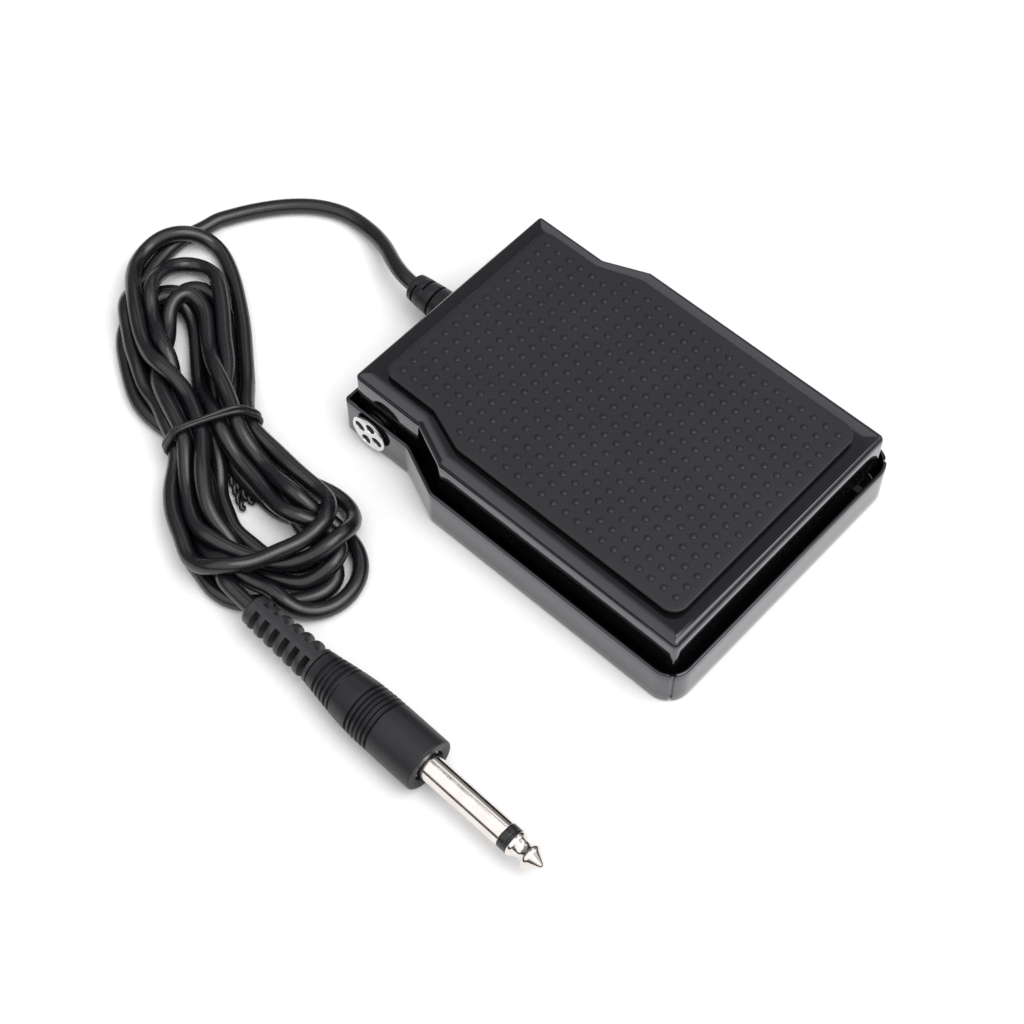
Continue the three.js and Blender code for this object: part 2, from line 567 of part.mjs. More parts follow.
function makeHank() {
  const place = (along, across) => new THREE.Vector2(
    TIE.x + along * HANK_AXIS.x + across * HANK_AXIS.y, TIE.y + along * HANK_AXIS.y - across * HANK_AXIS.x);
  const left = HANK_WIDTHS.map(([along, from]) => place(along, from));
  const right = HANK_WIDTHS.map(([along, , to]) => place(along, to)).reverse();
  const body = new THREE.ExtrudeGeometry(new THREE.Shape([...left, ...right]), {
    depth: HANK_HEIGHT - 3, bevelEnabled: true, bevelThickness: 1.5, bevelSize: 1.5, bevelOffset: -1.5,
    bevelSegments: 1 });
  body.translate(0, 0, 1.7);
  const heading = Math.atan2(HANK_AXIS.y, HANK_AXIS.x);
  const waist = box(-TIE_LENGTH / 2 - GAP, TIE_LENGTH / 2 + GAP, -30, 30, -5, 30);
  const core = box(-TIE_LENGTH, TIE_LENGTH, -11, 10.6, 2.1, 10.4);
  const grooved = toSolid(body).subtract(toSolid(waist.rotateZ(heading).translate(TIE.x, TIE.y, 0)))
    .add(toSolid(core.rotateZ(heading).translate(TIE.x, TIE.y, 0)));
  addPart('cord_hank', toGeometry(grooved), SOFT_PVC);
}

function makeTie() {
  const heading = Math.atan2(HANK_AXIS.y, HANK_AXIS.x);
  const half = TIE_LENGTH / 2;
  const band = cut(box(-half, half, -12.4, 12, 0.7, 11.8), [box(-9, 9, -11.3, 10.9, 1.8, 10.7)]);
  const mesh = addPart('cord_tie', band, SOFT_PVC);
  mesh.position.set(TIE.x, TIE.y, 0);
  mesh.rotation.z = heading;
}

// ---- plug ---------------------------------------------------------------------------------------
// Each plug piece is turned about the plug's own axis; stations are y values, falling to the tip.
function plugPart(name, profile, material, sides = 24) {
  const flipped = profile.map(([radius, y]) => [radius, -y]);
  const mesh = addPart(name, turned(flipped, sides), material);
  mesh.rotation.z = Math.PI - THREE.MathUtils.degToRad(PLUG_YAW_DEG);
  mesh.position.set(PLUG_X, 0, PLUG_Z);
}

function makePlug() {
  const { reliefStart, shellStart, shellFront, sleeveEnd, insulatorEnd, tip } = PLUG_Y;
  plugPart('plug_strain_relief', [[0, reliefStart - GAP], [3.6, reliefStart - GAP], [4.1, reliefStart - 1],
    [4.6, shellStart + GAP], [0, shellStart + GAP]], MOULDED);
  plugPart('plug_shell', [[0, shellStart], [4.7, shellStart], [5.4, shellStart - 4.5],
    [6.1, shellStart - 9], [6.5, shellStart - 13], [SHELL_RADIUS, shellStart - 18],
    [SHELL_RADIUS, shellFront + 0.8], [SHELL_RADIUS - 0.8, shellFront], [0, shellFront]], MOULDED);
  const shoulder = shellFront - GAP - 1.2;
  plugPart('plug_sleeve', [[0, shellFront - GAP], [4.2, shellFront - GAP], [4.2, shoulder],
    [SLEEVE_RADIUS, shoulder], [SLEEVE_RADIUS, sleeveEnd], [0, sleeveEnd]], NICKEL);
  plugPart('plug_insulator', [[0, sleeveEnd - GAP], [SLEEVE_RADIUS, sleeveEnd - GAP],
    [SLEEVE_RADIUS, insulatorEnd], [0, insulatorEnd]], SOFT_PVC);
  plugPart('plug_tip', [[0, insulatorEnd - GAP], [SLEEVE_RADIUS, insulatorEnd - GAP],
    [SLEEVE_RADIUS, insulatorEnd - 1.2], [2.15, insulatorEnd - 3.6], [3.0, insulatorEnd - 5.6],
    [2.9, insulatorEnd - 6.2], [0.9, tip + 0.3], [0, tip]], NICKEL);
}

makeBasePan();
makeFeet();
makeTopCover();
makeRubberPad();
makePivots();
makeSpring();
makeBumpers();
makeSwitch();
makeLever();
makeActuatorTab();
makeGland();
makeInnerCable();
makeCableClamp();
makeLead();
makeHank();
makeTie();
makePlug();

export default object;
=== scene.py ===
"""Sustain pedal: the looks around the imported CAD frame.

Lengths are in millimetres in this file and become metres where a mesh or a curve is made.
The floor is z = 0, +Y points to the hinge and the lead, -Y to the wide front edge.
"""
import json
import math

import bmesh
import bpy
import numpy as np
from mathutils import Matrix, Vector


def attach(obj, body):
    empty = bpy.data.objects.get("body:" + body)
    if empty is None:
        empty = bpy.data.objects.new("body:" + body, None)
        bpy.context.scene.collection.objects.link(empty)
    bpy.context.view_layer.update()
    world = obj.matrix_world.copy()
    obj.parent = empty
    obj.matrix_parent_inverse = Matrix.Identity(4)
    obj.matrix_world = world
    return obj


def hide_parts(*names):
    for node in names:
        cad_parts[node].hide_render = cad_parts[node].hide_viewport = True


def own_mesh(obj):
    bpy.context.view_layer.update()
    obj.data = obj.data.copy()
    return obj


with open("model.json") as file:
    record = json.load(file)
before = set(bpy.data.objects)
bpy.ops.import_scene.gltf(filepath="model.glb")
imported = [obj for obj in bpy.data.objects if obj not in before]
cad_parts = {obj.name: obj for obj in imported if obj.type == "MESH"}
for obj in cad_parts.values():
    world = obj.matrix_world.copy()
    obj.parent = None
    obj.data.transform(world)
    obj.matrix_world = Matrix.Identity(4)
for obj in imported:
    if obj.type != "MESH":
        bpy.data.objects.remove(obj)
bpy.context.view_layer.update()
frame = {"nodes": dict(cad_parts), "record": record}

MM = 0.001

# ---- dimensions shared with the CAD model --------------------------------------------------------
SHEET = 1.0
BASE_BOTTOM = 1.5
WALL_BOTTOM = 0.4
BASE_RIM = 12.2
COVER_TOP = 22.5
SKIRT_BOTTOM = 11.1
PAD_BOTTOM = 22.8
PAD_TOP = 24.7

BASE_PLAN = dict(front=40.5, rear=34.7, y_front=-54.0, flare_front=20.4, flare_rear=33.4, y_rear=54.0,
                 r_front=6.0, r_flare_front=4.0, r_flare_rear=3.5, r_rear=1.2)
COVER_PLAN = dict(front=37.5, rear=32.6, y_front=-51.3, flare_front=19.8, flare_rear=31.0, y_rear=51.6,
                  r_front=1.5, r_flare_front=2.4, r_flare_rear=2.0, r_rear=1.2)
PAD_PLAN = dict(front=32.8, rear=28.6, y_front=-47.0, flare_front=18.6, flare_rear=29.8, y_rear=46.2,
                r_front=4.0, r_flare_front=5.0, r_flare_rear=3.0, r_rear=3.0)

PIVOT_Y = 45.2
PIVOT_Z = 6.9
SCREW_HEAD = 5.2
FOOT_CENTRES = [(-29, -43), (29, -43), (-25, 42.5), (25, 42.5)]
FOOT_RADIUS = 6.0
FOOT_HEIGHT = 1.2
BUSH_HOLE = 3.3              # in the cover's ears
SHANK_HOLE = 2.3             # in the pan's side walls
EAR_RADIUS = 4.1

SPRING_Y = -18.0
SPRING_RADIUS = 4.4
SPRING_WIRE = 0.6
SPRING_TURNS = 6

GLAND_X = 3.3
GLAND_Z = 8.0
GLAND_START_Y = 54.3

PLUG_X = -88.3
PLUG_Z = 6.95
PLUG_YAW = math.radians(1.4)
RELIEF_END = 31.2
SHELL_START = 9.0
SHELL_FRONT = -25.6
SLEEVE_END = -48.7
INSULATOR_END = -51.2
TIP_END = -59.7
SHELL_RADIUS = 6.75
SLEEVE_RADIUS = 3.175


def add_object(name, data):
    """A new object in the scene, from a mesh, curve, light or camera."""
    thing = bpy.data.objects.new(name, data)
    bpy.context.collection.objects.link(thing)
    return thing


# ---- camera --------------------------------------------------------------------------------------
CAMERA_AZIMUTH = math.radians(-47.378)
CAMERA_ELEVATION = math.radians(58.374)
CAMERA_ROLL = math.radians(-0.216)
CAMERA_DISTANCE = 505.464
CAMERA_TARGET = np.array([-25.661, 7.9, 0.0])
CAMERA_LENS = 74.777


def camera_axes():
    """Unit vectors to the right, up and back of the picture, before the roll."""
    a = CAMERA_AZIMUTH
    e = CAMERA_ELEVATION
    back = np.array([math.sin(a) * math.cos(e), -math.cos(a) * math.cos(e), math.sin(e)])
    right = np.array([math.cos(a), math.sin(a), 0.0])
    return right, np.cross(back, right), back


def make_camera():
    right, up, back = camera_axes()
    c = math.cos(CAMERA_ROLL)
    s = math.sin(CAMERA_ROLL)
    across = c * right + s * up
    upward = -s * right + c * up
    eye = CAMERA_TARGET + back * CAMERA_DISTANCE
    data = bpy.data.cameras.new("camera")
    data.lens = CAMERA_LENS
    data.sensor_width = 36.0
    data.clip_start = 0.01
    data.clip_end = 100.0
    camera = add_object("camera", data)
    turn = Matrix([across, upward, back]).transposed()
    camera.matrix_world = Matrix.Translation(Vector(eye * MM)) @ turn.to_4x4()
    bpy.context.scene.camera = camera
    return eye


EYE = make_camera()

# ---- the cord: its route, and how it settles -----------------------------------------------------
CORD_RADIUS = 2.0
CORD_STEP = 2.0
TIE = np.array([-61.0, 73.0])           # the pinched middle of the hank
ALONG = np.array([0.447, 0.8945])       # from its lower loops to its upper loops
ACROSS = np.array([0.8945, -0.447])

# Where the lead leaves the gland, comes down to the floor and runs to the hank.
LEAD = [(3.3, 66.6, 8.0), (3.4, 69.0, 8.0), (4.2, 73.0, 7.6), (6.0, 77.5, 6.6), (8.3, 82.0, 5.2),
        (10.3, 87.2, 3.7), (11.4, 93.6, 2.6), (11.0, 100.2, 2.2), (8.0, 106.9, 2.2), (3.2, 112.5, 2.2),
        (-3.0, 117.4, 2.2), (-9.2, 121.1, 2.2), (-13.8, 123.2, 2.2)]
# Where it leaves the hank and goes into the plug.
TAIL = [(-86.9, 41.2, 6.95), (-87.2, 38.0, 6.95), (-87.4, 34.8, 6.95), (-87.5, 31.7, 6.95),
        (-87.8, 20.0, 6.95), (-88.1, 9.0, 6.95), (-88.2, 4.0, 6.95)]

# The thirteen strands at the tie: (across, height), in three layers.
LOW = 2.3
MIDDLE = 5.8
HIGH = 9.3
STRANDS = {
    "B1": (-6.6, LOW), "B2": (-2.0, LOW), "B3": (2.6, LOW), "B4": (7.0, LOW),
    "M1": (-8.9, MIDDLE), "M2": (-4.3, MIDDLE), "M3": (0.3, MIDDLE), "M4": (4.9, MIDDLE),
    "M5": (9.6, MIDDLE),
    "T1": (-6.7, HIGH), "T2": (-2.2, HIGH), "T3": (2.3, HIGH), "T4": (6.5, HIGH),
}

# The loops above (U) and below (D) the tie, as (along, across, height) from the tie.
LOOPS = {
    "lead": [(64, 16, 2), (63.5, 11, 2), (61.5, 5.5, 2), (57.5, 0.5, 2), (52.5, -3.5, 2), (46.5, -7, 2),
             (41, -9, 3), (34, -10, 3.5), (28.5, -10, 4), (21, -10, 4.5), (12.5, -9.5, 5)],
    "U1": [(13.5, 12, 8), (23.5, 15, 8), (34, 17.5, 8), (43, 18.5, 8), (51, 18, 8), (57.5, 16, 8),
           (60.5, 11.5, 8), (61, 6.5, 8), (58.5, 1, 8), (53, -4, 8), (47, -6.5, 8), (41, -7.5, 8),
           (34.5, -7.5, 8), (27.5, -6.5, 8), (20.5, -4.5, 8), (13.5, -3, 8)],
    "U2": [(12, 7, 5), (18, 8.5, 5), (25.5, 10, 5), (31.5, 12, 5), (38, 13.5, 5), (45.5, 14.5, 5),
           (51, 13.5, 5), (54.5, 10.5, 5), (55.5, 6.5, 5), (52.5, 2, 5), (48.5, -1.5, 5), (42.5, -3.5, 5),
           (36.5, -4.3, 5), (30, -5, 5), (22, -5.6, 4.5), (13, -5.8, 5)],
    "U3": [(14, 7, 6), (22.5, 8, 5), (27, 8, 4), (40, 10.5, 4), (47, 10, 4), (50.5, 8, 4), (50, 5, 4),
           (46, 2, 4), (40.5, 0, 4), (33.5, -2.6, 4), (27.5, -4.6, 4), (20, -6.5, 5), (12, -7.3, 7)],
    "U4": [(11.5, 2.2, 5), (18.5, 3.2, 3), (27, 4.6, 3), (36, 6.3, 3), (42.5, 6.7, 2.5), (47.5, 4, 2),
           (49.5, -0.5, 2), (47.5, -5, 2), (42, -8.4, 2), (34, -9.6, 2), (24, -9.2, 2), (12, -5.5, 2)],
    "U5": [(12, 5, 2), (22, 8, 2), (32, 10.5, 2), (41, 10.5, 2), (48, 7, 2), (50, 1.5, 2),
           (47.5, -4, 2), (41, -9, 2), (34, -12, 2), (28.5, -13.5, 2), (23, -13.5, 2), (15, -12, 2)],
    "U6": [(10, 6, 2), (20, 8.5, 2), (30, 11, 2), (40, 13, 2), (46.5, 12.5, 2), (50, 9, 2),
           (49.5, 5.5, 2), (46, 2.5, 2), (41.5, 0.6, 2.5), (36, -2.2, 3), (30, -4.6, 3), (24, -5, 3),
           (16.5, -4, 3)],
    "D1": [(-10, -11.5, 3), (-18, -13.5, 2), (-25.5, -14.5, 4), (-30.5, -15, 6), (-34.5, -13, 8),
           (-37, -9, 8), (-38, -3.5, 8), (-38, 2, 8), (-37.5, 8, 8), (-36, 14, 8), (-34, 17.5, 8),
           (-30, 20, 8), (-26, 19.5, 8), (-22, 17.5, 8), (-20, 16.5, 8), (-13.5, 13.5, 8), (-6.5, 11, 8)],
    "D2": [(-4.5, -8.5, 6), (-12.5, -11, 6), (-19.5, -12, 6), (-25, -11, 6), (-29.5, -8.5, 6),
           (-33, -5.5, 6), (-36.5, 0, 5), (-39, 6, 5), (-39.5, 12.5, 5), (-38.5, 19, 5), (-37, 23, 5),
           (-33, 25, 5), (-28, 24, 5), (-24.5, 21, 5), (-19, 16.5, 4), (-12, 12, 3), (-5, 8, 2.5)],
    "D3": [(-6, -4.5, 6), (-14, -6, 6), (-20.5, -6.5, 6), (-26, -6, 6), (-31, -4, 6), (-34.5, -1.5, 6),
           (-39, 2.5, 3), (-42, 5, 3), (-44, 9, 3), (-45, 12.5, 3), (-43.5, 16, 3), (-40.5, 19.5, 3),
           (-36.5, 20, 3), (-33, 17.5, 4), (-31, 13.5, 5), (-26, 10.5, 5), (-21.5, 8.5, 5),
           (-12.5, 5.5, 5), (-4, 3.5, 6)],
    "D4": [(-8, -5, 2), (-16, -8.5, 2), (-24, -10.5, 2), (-31, -10, 4), (-38, -7.5, 7), (-41.5, -6, 8),
           (-45.5, -3.5, 8), (-48.5, 0, 7), (-51.5, 3.5, 6), (-53, 8, 5), (-53.5, 13, 4), (-51.5, 17, 3),
           (-48.5, 20.5, 3), (-44, 22.5, 3), (-39, 22.5, 3), (-35, 20, 4), (-31, 16, 5), (-26, 14, 6),
           (-21, 12, 6), (-13.5, 9.5, 6), (-5, 7, 6)],
    "D5": [(-9, -9.5, 2), (-18, -12, 2), (-27, -13, 2), (-36, -11, 2), (-41, -10, 2), (-44.5, -8, 2),
           (-46.5, -4, 2), (-48, 0.5, 2), (-49, 6, 2), (-49.5, 11, 2), (-48, 15, 2), (-44.5, 18.5, 2),
           (-39.5, 18.5, 2), (-35, 16.5, 2), (-30, 14.5, 3), (-26.5, 12.5, 3), (-20.5, 9.5, 3),
           (-13, 7, 3), (-5, 4.5, 4)],
    "D6": [(-5.5, -1, 3), (-13.5, -3, 3), (-19.5, -4.5, 3), (-25, -4, 3), (-30, -2.5, 3), (-36, 1, 2.5),
           (-41, 5.5, 2), (-43, 11, 2), (-41.5, 16, 2), (-37, 18.5, 2), (-32.5, 17, 2), (-28.5, 13, 2),
           (-20, 8.5, 2), (-10, 5, 2)],
    "tail": [(-8, -4.5, 3), (-16, -6, 2.5), (-24, -7.5, 2.5), (-31, -8.5, 3), (-36.5, -9, 5)],
}
# The order in which the cord runs through the strands and the loops.
CORD_ORDER = ["lead", "M1", "D1", "M5", "U1", "T2", "D3", "T3", "U4", "B2", "D4", "T4", "U3", "T1", "D2",
              "B4", "U6", "M3", "D6", "B3", "U5", "B1", "D5", "M4", "U2", "M2", "tail"]
# How the line is laid and settles under its own weight.
SETTLE_STEPS = 300
PULL = 0.05          # back to the line that was laid, as a share of the way in each step
SPACING = 4.1        # between the middles of strands that touch
LEAST_BEND = 8.0     # the bend that the settling aims for; a few of the loops' ends stay tighter
KINK_BEND = 5.0      # bends tighter than this are eased afterwards
KINK_ROUNDS = 90
SINK = 0.04          # how far a free point drops in each step
REST_HEIGHT = CORD_RADIUS + 0.05
FIXED = 1.0          # how a knot is held: the two ends, the strands in the tie, and the free loops
TIED = 0.5
FREE = 0.0


def in_hank(along, across, height):
    x, y = TIE + along * ALONG + across * ACROSS
    return x, y, height


def cord_knots():
    knots = [(point, FIXED) for point in LEAD]
    for name in CORD_ORDER:
        if name in STRANDS:
            across, height = STRANDS[name]
            knots.append((in_hank(0, across, height), TIED))
        else:
            knots += [(in_hank(*knot), FREE) for knot in LOOPS[name]]
    knots += [(point, FIXED) for point in TAIL]
    points = np.array([point for point, hold in knots])
    return points, np.array([hold for point, hold in knots])


def evenly(points, hold, step):
    """The same line with points a step apart, and how each of them is held."""
    along = np.concatenate([[0], np.cumsum(np.linalg.norm(np.diff(points, axis=0), axis=1))])
    count = int(round(along[-1] / step))
    stations = np.linspace(0, along[-1], count + 1)
    even = np.stack([np.interp(stations, along, points[:, axis]) for axis in range(3)], 1)
    return even, np.interp(stations, along, hold)


def smooth_line(knots, hold, step):
    """A centripetal spline through the knots."""
    ends = np.vstack([2 * knots[0] - knots[1], knots, 2 * knots[-1] - knots[-2]])
    dense = []
    held = []
    for i in range(1, len(ends) - 2):
        p0, p1, p2, p3 = ends[i - 1:i + 3]
        t1 = np.linalg.norm(p1 - p0) ** 0.5
        t2 = t1 + np.linalg.norm(p2 - p1) ** 0.5
        t3 = t2 + np.linalg.norm(p3 - p2) ** 0.5
        t = np.linspace(t1, t2, 30, endpoint=False)[:, None]
        a1 = (t1 - t) / t1 * p0 + t / t1 * p1
        a2 = (t2 - t) / (t2 - t1) * p1 + (t - t1) / (t2 - t1) * p2
        a3 = (t3 - t) / (t3 - t2) * p2 + (t - t2) / (t3 - t2) * p3
        b1 = (t2 - t) / t2 * a1 + t / t2 * a2
        b2 = (t3 - t) / (t3 - t1) * a2 + (t - t1) / (t3 - t1) * a3
        dense.append((t2 - t) / (t2 - t1) * b1 + (t - t1) / (t2 - t1) * b2)
        nearer_start = ((t - t1) / (t2 - t1))[:, 0] < 0.5
        held.append(np.where(nearer_start, hold[i - 1], hold[i]))
    points = np.vstack(dense + [knots[-1:]])
    return evenly(points, np.concatenate(held + [hold[-1:]]), step)


def settle(points, hold):
    """Lets the line sink under its weight, keeping strands a diameter apart and bends round.

    A point may move along the line of sight freely, and is pulled back to it sideways.
    """
    home = points.copy()
    points = points.copy()
    fixed = hold > 0.9
    free = (~fixed)[:, None].astype(float)
    tied = (hold > 0.3) & ~fixed
    pulls = np.where(tied, 0.3, PULL)[:, None]
    reach = 3
    bend_limit = (reach * CORD_STEP) ** 2 / 2 / LEAST_BEND
    for turn in range(SETTLE_STEPS):
        if turn % 8 == 0:
            apart = ((points[:, None, :] - points[None, :, :]) ** 2).sum(2)
            first, second = np.where(apart < (SPACING + 2.0) ** 2)
            beside = second - first > 6
            first, second = first[beside], second[beside]
        points[:, 2] -= SINK * (~fixed)
        climb = ((EYE[2] - points[:, 2]) / (EYE[2] - home[:, 2]))[:, None]
        seen_at = EYE[:2] + (home[:, :2] - EYE[:2]) * climb
        points[:, :2] += pulls * (np.where(tied[:, None], home[:, :2], seen_at) - points[:, :2])
        points[:, 2] += np.where(tied, 0.3, 0.0) * (home[:, 2] - points[:, 2])
        for _ in range(2):
            curl = np.zeros_like(points)
            curl[1:-1] = points[:-2] - 2 * points[1:-1] + points[2:]
            stiff = np.zeros_like(points)
            stiff[1:-1] = curl[:-2] - 2 * curl[1:-1] + curl[2:]
            points -= 0.11 * stiff * free
        chord = np.zeros_like(points)
        chord[reach:-reach] = (points[:-2 * reach] + points[2 * reach:]) / 2 - points[reach:-reach]
        size = np.linalg.norm(chord, axis=1) + 1e-9
        excess = np.clip((size - bend_limit) / size, 0, 1)
        excess = np.convolve(excess, np.ones(5) / 5, "same")
        points += 0.35 * excess[:, None] * chord * free
        tangent = np.zeros_like(points)
        tangent[1:-1] = points[2:] - points[:-2]
        tangent /= np.linalg.norm(tangent, axis=1)[:, None] + 1e-9
        drift = np.zeros_like(points)
        drift[1:-1] = (points[:-2] + points[2:]) / 2 - points[1:-1]
        points += 0.5 * (drift * tangent).sum(1)[:, None] * tangent * free
        for _ in range(2):
            between = points[first] - points[second]
            gap = np.linalg.norm(between, axis=1) + 1e-9
            push = np.clip(SPACING - gap, 0, None) * 0.3
            move = between / gap[:, None] * push[:, None]
            np.add.at(points, first, move)
            np.add.at(points, second, -move)
            points[:, 2] = np.maximum(points[:, 2], REST_HEIGHT)
            keep_off_plug(points, fixed)
            points[fixed] = home[fixed]
    return points


def keep_off_plug(points, fixed):
    """Moves the line sideways out of the plug's relief and shell."""
    axis_x = PLUG_X + points[:, 1] * math.tan(PLUG_YAW)
    clear = np.where(points[:, 1] > SHELL_START, 4.6, SHELL_RADIUS) + CORD_RADIUS + 0.1
    dx = points[:, 0] - axis_x
    dz = points[:, 2] - PLUG_Z
    away = np.hypot(dx, dz) + 1e-9
    inside = (away < clear) & (points[:, 1] < RELIEF_END + 2.5) & (points[:, 1] > TIP_END) & ~fixed
    shift = np.where(inside, clear - away, 0.0)
    points[:, 0] += shift * np.where(dx < 0, -1, 1)


def ease_kinks(points, hold):
    """Eases the few places where the settled line bends very sharply."""
    points = points.copy()
    free = (hold <= 0.9)[2:-2]
    for _ in range(KINK_ROUNDS):
        steps = np.diff(points, axis=0)
        steps /= np.linalg.norm(steps, axis=1)[:, None] + 1e-9
        turn = np.arccos(np.clip((steps[:-1] * steps[1:]).sum(1), -1, 1))
        tight = np.concatenate([[0], turn > CORD_STEP / KINK_BEND, [0]])
        near = np.clip(np.convolve(tight, np.hanning(15), "same"), 0, 1)[2:-2] * free
        drift = (points[:-4] + points[1:-3] + points[3:-1] + points[4:]) / 4 - points[2:-2]
        points[2:-2] += 0.3 * drift * near[:, None]
    points[:, 2] = np.maximum(points[:, 2], REST_HEIGHT)
    return points


def settle_cord():
    """The points that the cord follows, a step apart, from the gland to inside the plug."""
    knots, hold = cord_knots()
    points, held = smooth_line(knots, hold, CORD_STEP)
    points, held = evenly(settle(points, held), held, CORD_STEP)
    points, held = evenly(ease_kinks(points, held), held, CORD_STEP)
    return points


# ---- mesh and curve tools ------------------------------------------------------------------------
def new_mesh(name, points, faces):
    """A mesh from points in millimetres, with its faces turned outwards."""
    mesh = bpy.data.meshes.new(name)
    mesh.from_pydata([tuple(float(v) * MM for v in point) for point in points], [], faces)
    mesh.validate()
    shell = bmesh.new()
    shell.from_mesh(mesh)
    bmesh.ops.recalc_face_normals(shell, faces=shell.faces)
    shell.to_mesh(mesh)
    shell.free()
    return mesh


def add_mesh(name, points, faces, material, body, sharp=35.0):
    """A mesh piece from points in millimetres, smooth except over sharp edges."""
    piece = add_object(name, new_mesh(name, points, faces))
    finish_piece(piece, material, body, sharp)
    return piece


def finish_piece(piece, material, body, sharp=35.0):
    """Gives a mesh piece its material, shading and body."""
    piece.data.materials.clear()
    piece.data.materials.append(material)
    piece.data.polygons.foreach_set("use_smooth", [True] * len(piece.data.polygons))
    piece.data.set_sharp_from_angle(angle=math.radians(sharp))
    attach(piece, body)


def loft(rings, capped=True):
    """Points and faces of a closed skin through rings that have the same number of points."""
    count = len(rings[0])
    points = np.vstack(rings)
    faces = []
    for level in range(len(rings) - 1):
        low = level * count
        high = low + count
        for i in range(count):
            after = (i + 1) % count
            faces.append((low + i, low + after, high + after, high + i))
    if capped:
        faces.append(tuple(reversed(range(count))))
        top = (len(rings) - 1) * count
        faces.append(tuple(range(top, top + count)))
    return points, faces


def joined(shapes):
    """One set of points and faces from several."""
    points = []
    faces = []
    start = 0
    for shape_points, shape_faces in shapes:
        points.append(np.asarray(shape_points))
        faces += [tuple(start + i for i in face) for face in shape_faces]
        start += len(shape_points)
    return np.vstack(points), faces


def round_grid(stations, radius_at, sides):
    """Rings of a turned skin, whose radius may depend on the angle from the top.

    Each point is (station along the axis, distance across, distance up).
    """
    angles = np.linspace(0, 2 * math.pi, sides, endpoint=False)
    rings = []
    for index, station in enumerate(stations):
        radius = radius_at(index, angles)
        rings.append(np.stack([np.full(sides, station), radius * np.sin(angles),
                               radius * np.cos(angles)], 1))
    return rings


def turned(profile, sides=64):
    """Points and faces of a piece turned from (station, radius) pairs about the station's axis."""
    stations = [station for station, radius in profile]
    radii = [max(radius, 0.01) for station, radius in profile]
    return loft(round_grid(stations, lambda i, angles: np.full(len(angles), radii[i]), sides))


def rounded(profile, size, steps=3):
    """The same profile with each corner replaced by a small arc-like run of points."""
    result = [profile[0]]
    for before, corner, after in zip(profile, profile[1:], profile[2:]):
        before, corner, after = (np.array(point, float) for point in (before, corner, after))
        back = before - corner
        ahead = after - corner
        reach = min(size, np.linalg.norm(back) * 0.45, np.linalg.norm(ahead) * 0.45)
        start = corner + back / (np.linalg.norm(back) + 1e-9) * reach
        end = corner + ahead / (np.linalg.norm(ahead) + 1e-9) * reach
        for k in range(steps + 1):
            t = k / steps
            result.append(tuple((1 - t) ** 2 * start + 2 * t * (1 - t) * corner + t ** 2 * end))
    result.append(profile[-1])
    return result


def along_z(points, x, y):
    """Turned about Z: the stations are heights."""
    points = np.asarray(points)
    return np.stack([x + points[:, 1], y + points[:, 2], points[:, 0]], 1)


def along_x(points, y, z, side):
    """Turned about X: the stations are distances out from the middle, on one side."""
    points = np.asarray(points)
    return np.stack([side * points[:, 0], y + points[:, 1], z + points[:, 2]], 1)


def along_y(points, x, z):
    """Turned about Y: the stations are y values."""
    points = np.asarray(points)
    return np.stack([x + points[:, 1], points[:, 0], z + points[:, 2]], 1)


def on_plug(points):
    """Turned about the plug's own axis: the stations are y values before the plug's yaw."""
    points = np.asarray(points)
    c = math.cos(PLUG_YAW)
    s = math.sin(PLUG_YAW)
    across = points[:, 1]
    y = points[:, 0]
    return np.stack([PLUG_X + c * across + s * y, c * y - s * across, PLUG_Z + points[:, 2]], 1)


def add_tube(name, points, radius, material, closed=False):
    """A round cord or wire as a curve of one spline, which rides on the base."""
    curve = bpy.data.curves.new(name, "CURVE")
    curve.dimensions = "3D"
    curve.bevel_depth = radius * MM
    curve.bevel_resolution = 5
    curve.resolution_u = 2
    curve.use_fill_caps = True
    spline = curve.splines.new("NURBS")
    spline.points.add(len(points) - 1)
    for knot, point in zip(spline.points, points):
        knot.co = (point[0] * MM, point[1] * MM, point[2] * MM, 1.0)
    spline.order_u = 4
    spline.use_cyclic_u = closed
    spline.use_endpoint_u = not closed
    spline.use_smooth = True
    piece = add_object(name, curve)
    piece.data.materials.append(material)
    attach(piece, "base")
    return piece


def cut_away(piece, points, faces):
    """Takes a tool shape out of a mesh piece for good."""
    tool = add_object("tool", new_mesh("tool", points, faces))
    change = piece.modifiers.new("cut", "BOOLEAN")
    change.operation = "DIFFERENCE"
    change.solver = "EXACT"
    change.object = tool
    bpy.context.view_layer.update()
    graph = bpy.context.evaluated_depsgraph_get()
    result = bpy.data.meshes.new_from_object(piece.evaluated_get(graph))
    piece.modifiers.clear()
    piece.data = result
    bpy.data.objects.remove(tool)


# ---- plan outlines -------------------------------------------------------------------------------
SEAM_STATIONS = [-0.85, -0.62, -0.48, -0.38, -0.31, -0.15, 0.0, 0.15, 0.31, 0.38, 0.48, 0.62, 0.85]


def plan_corners(plan):
    """The outline's corners, anticlockwise from the front right, with their radii."""
    right = [(plan["front"], plan["y_front"], plan["r_front"]),
             (plan["front"], plan["flare_front"], plan["r_flare_front"]),
             (plan["rear"], plan["flare_rear"], plan["r_flare_rear"]),
             (plan["rear"], plan["y_rear"], plan["r_rear"])]
    left = [(-x, y, radius) for x, y, radius in reversed(right)]
    return right + left


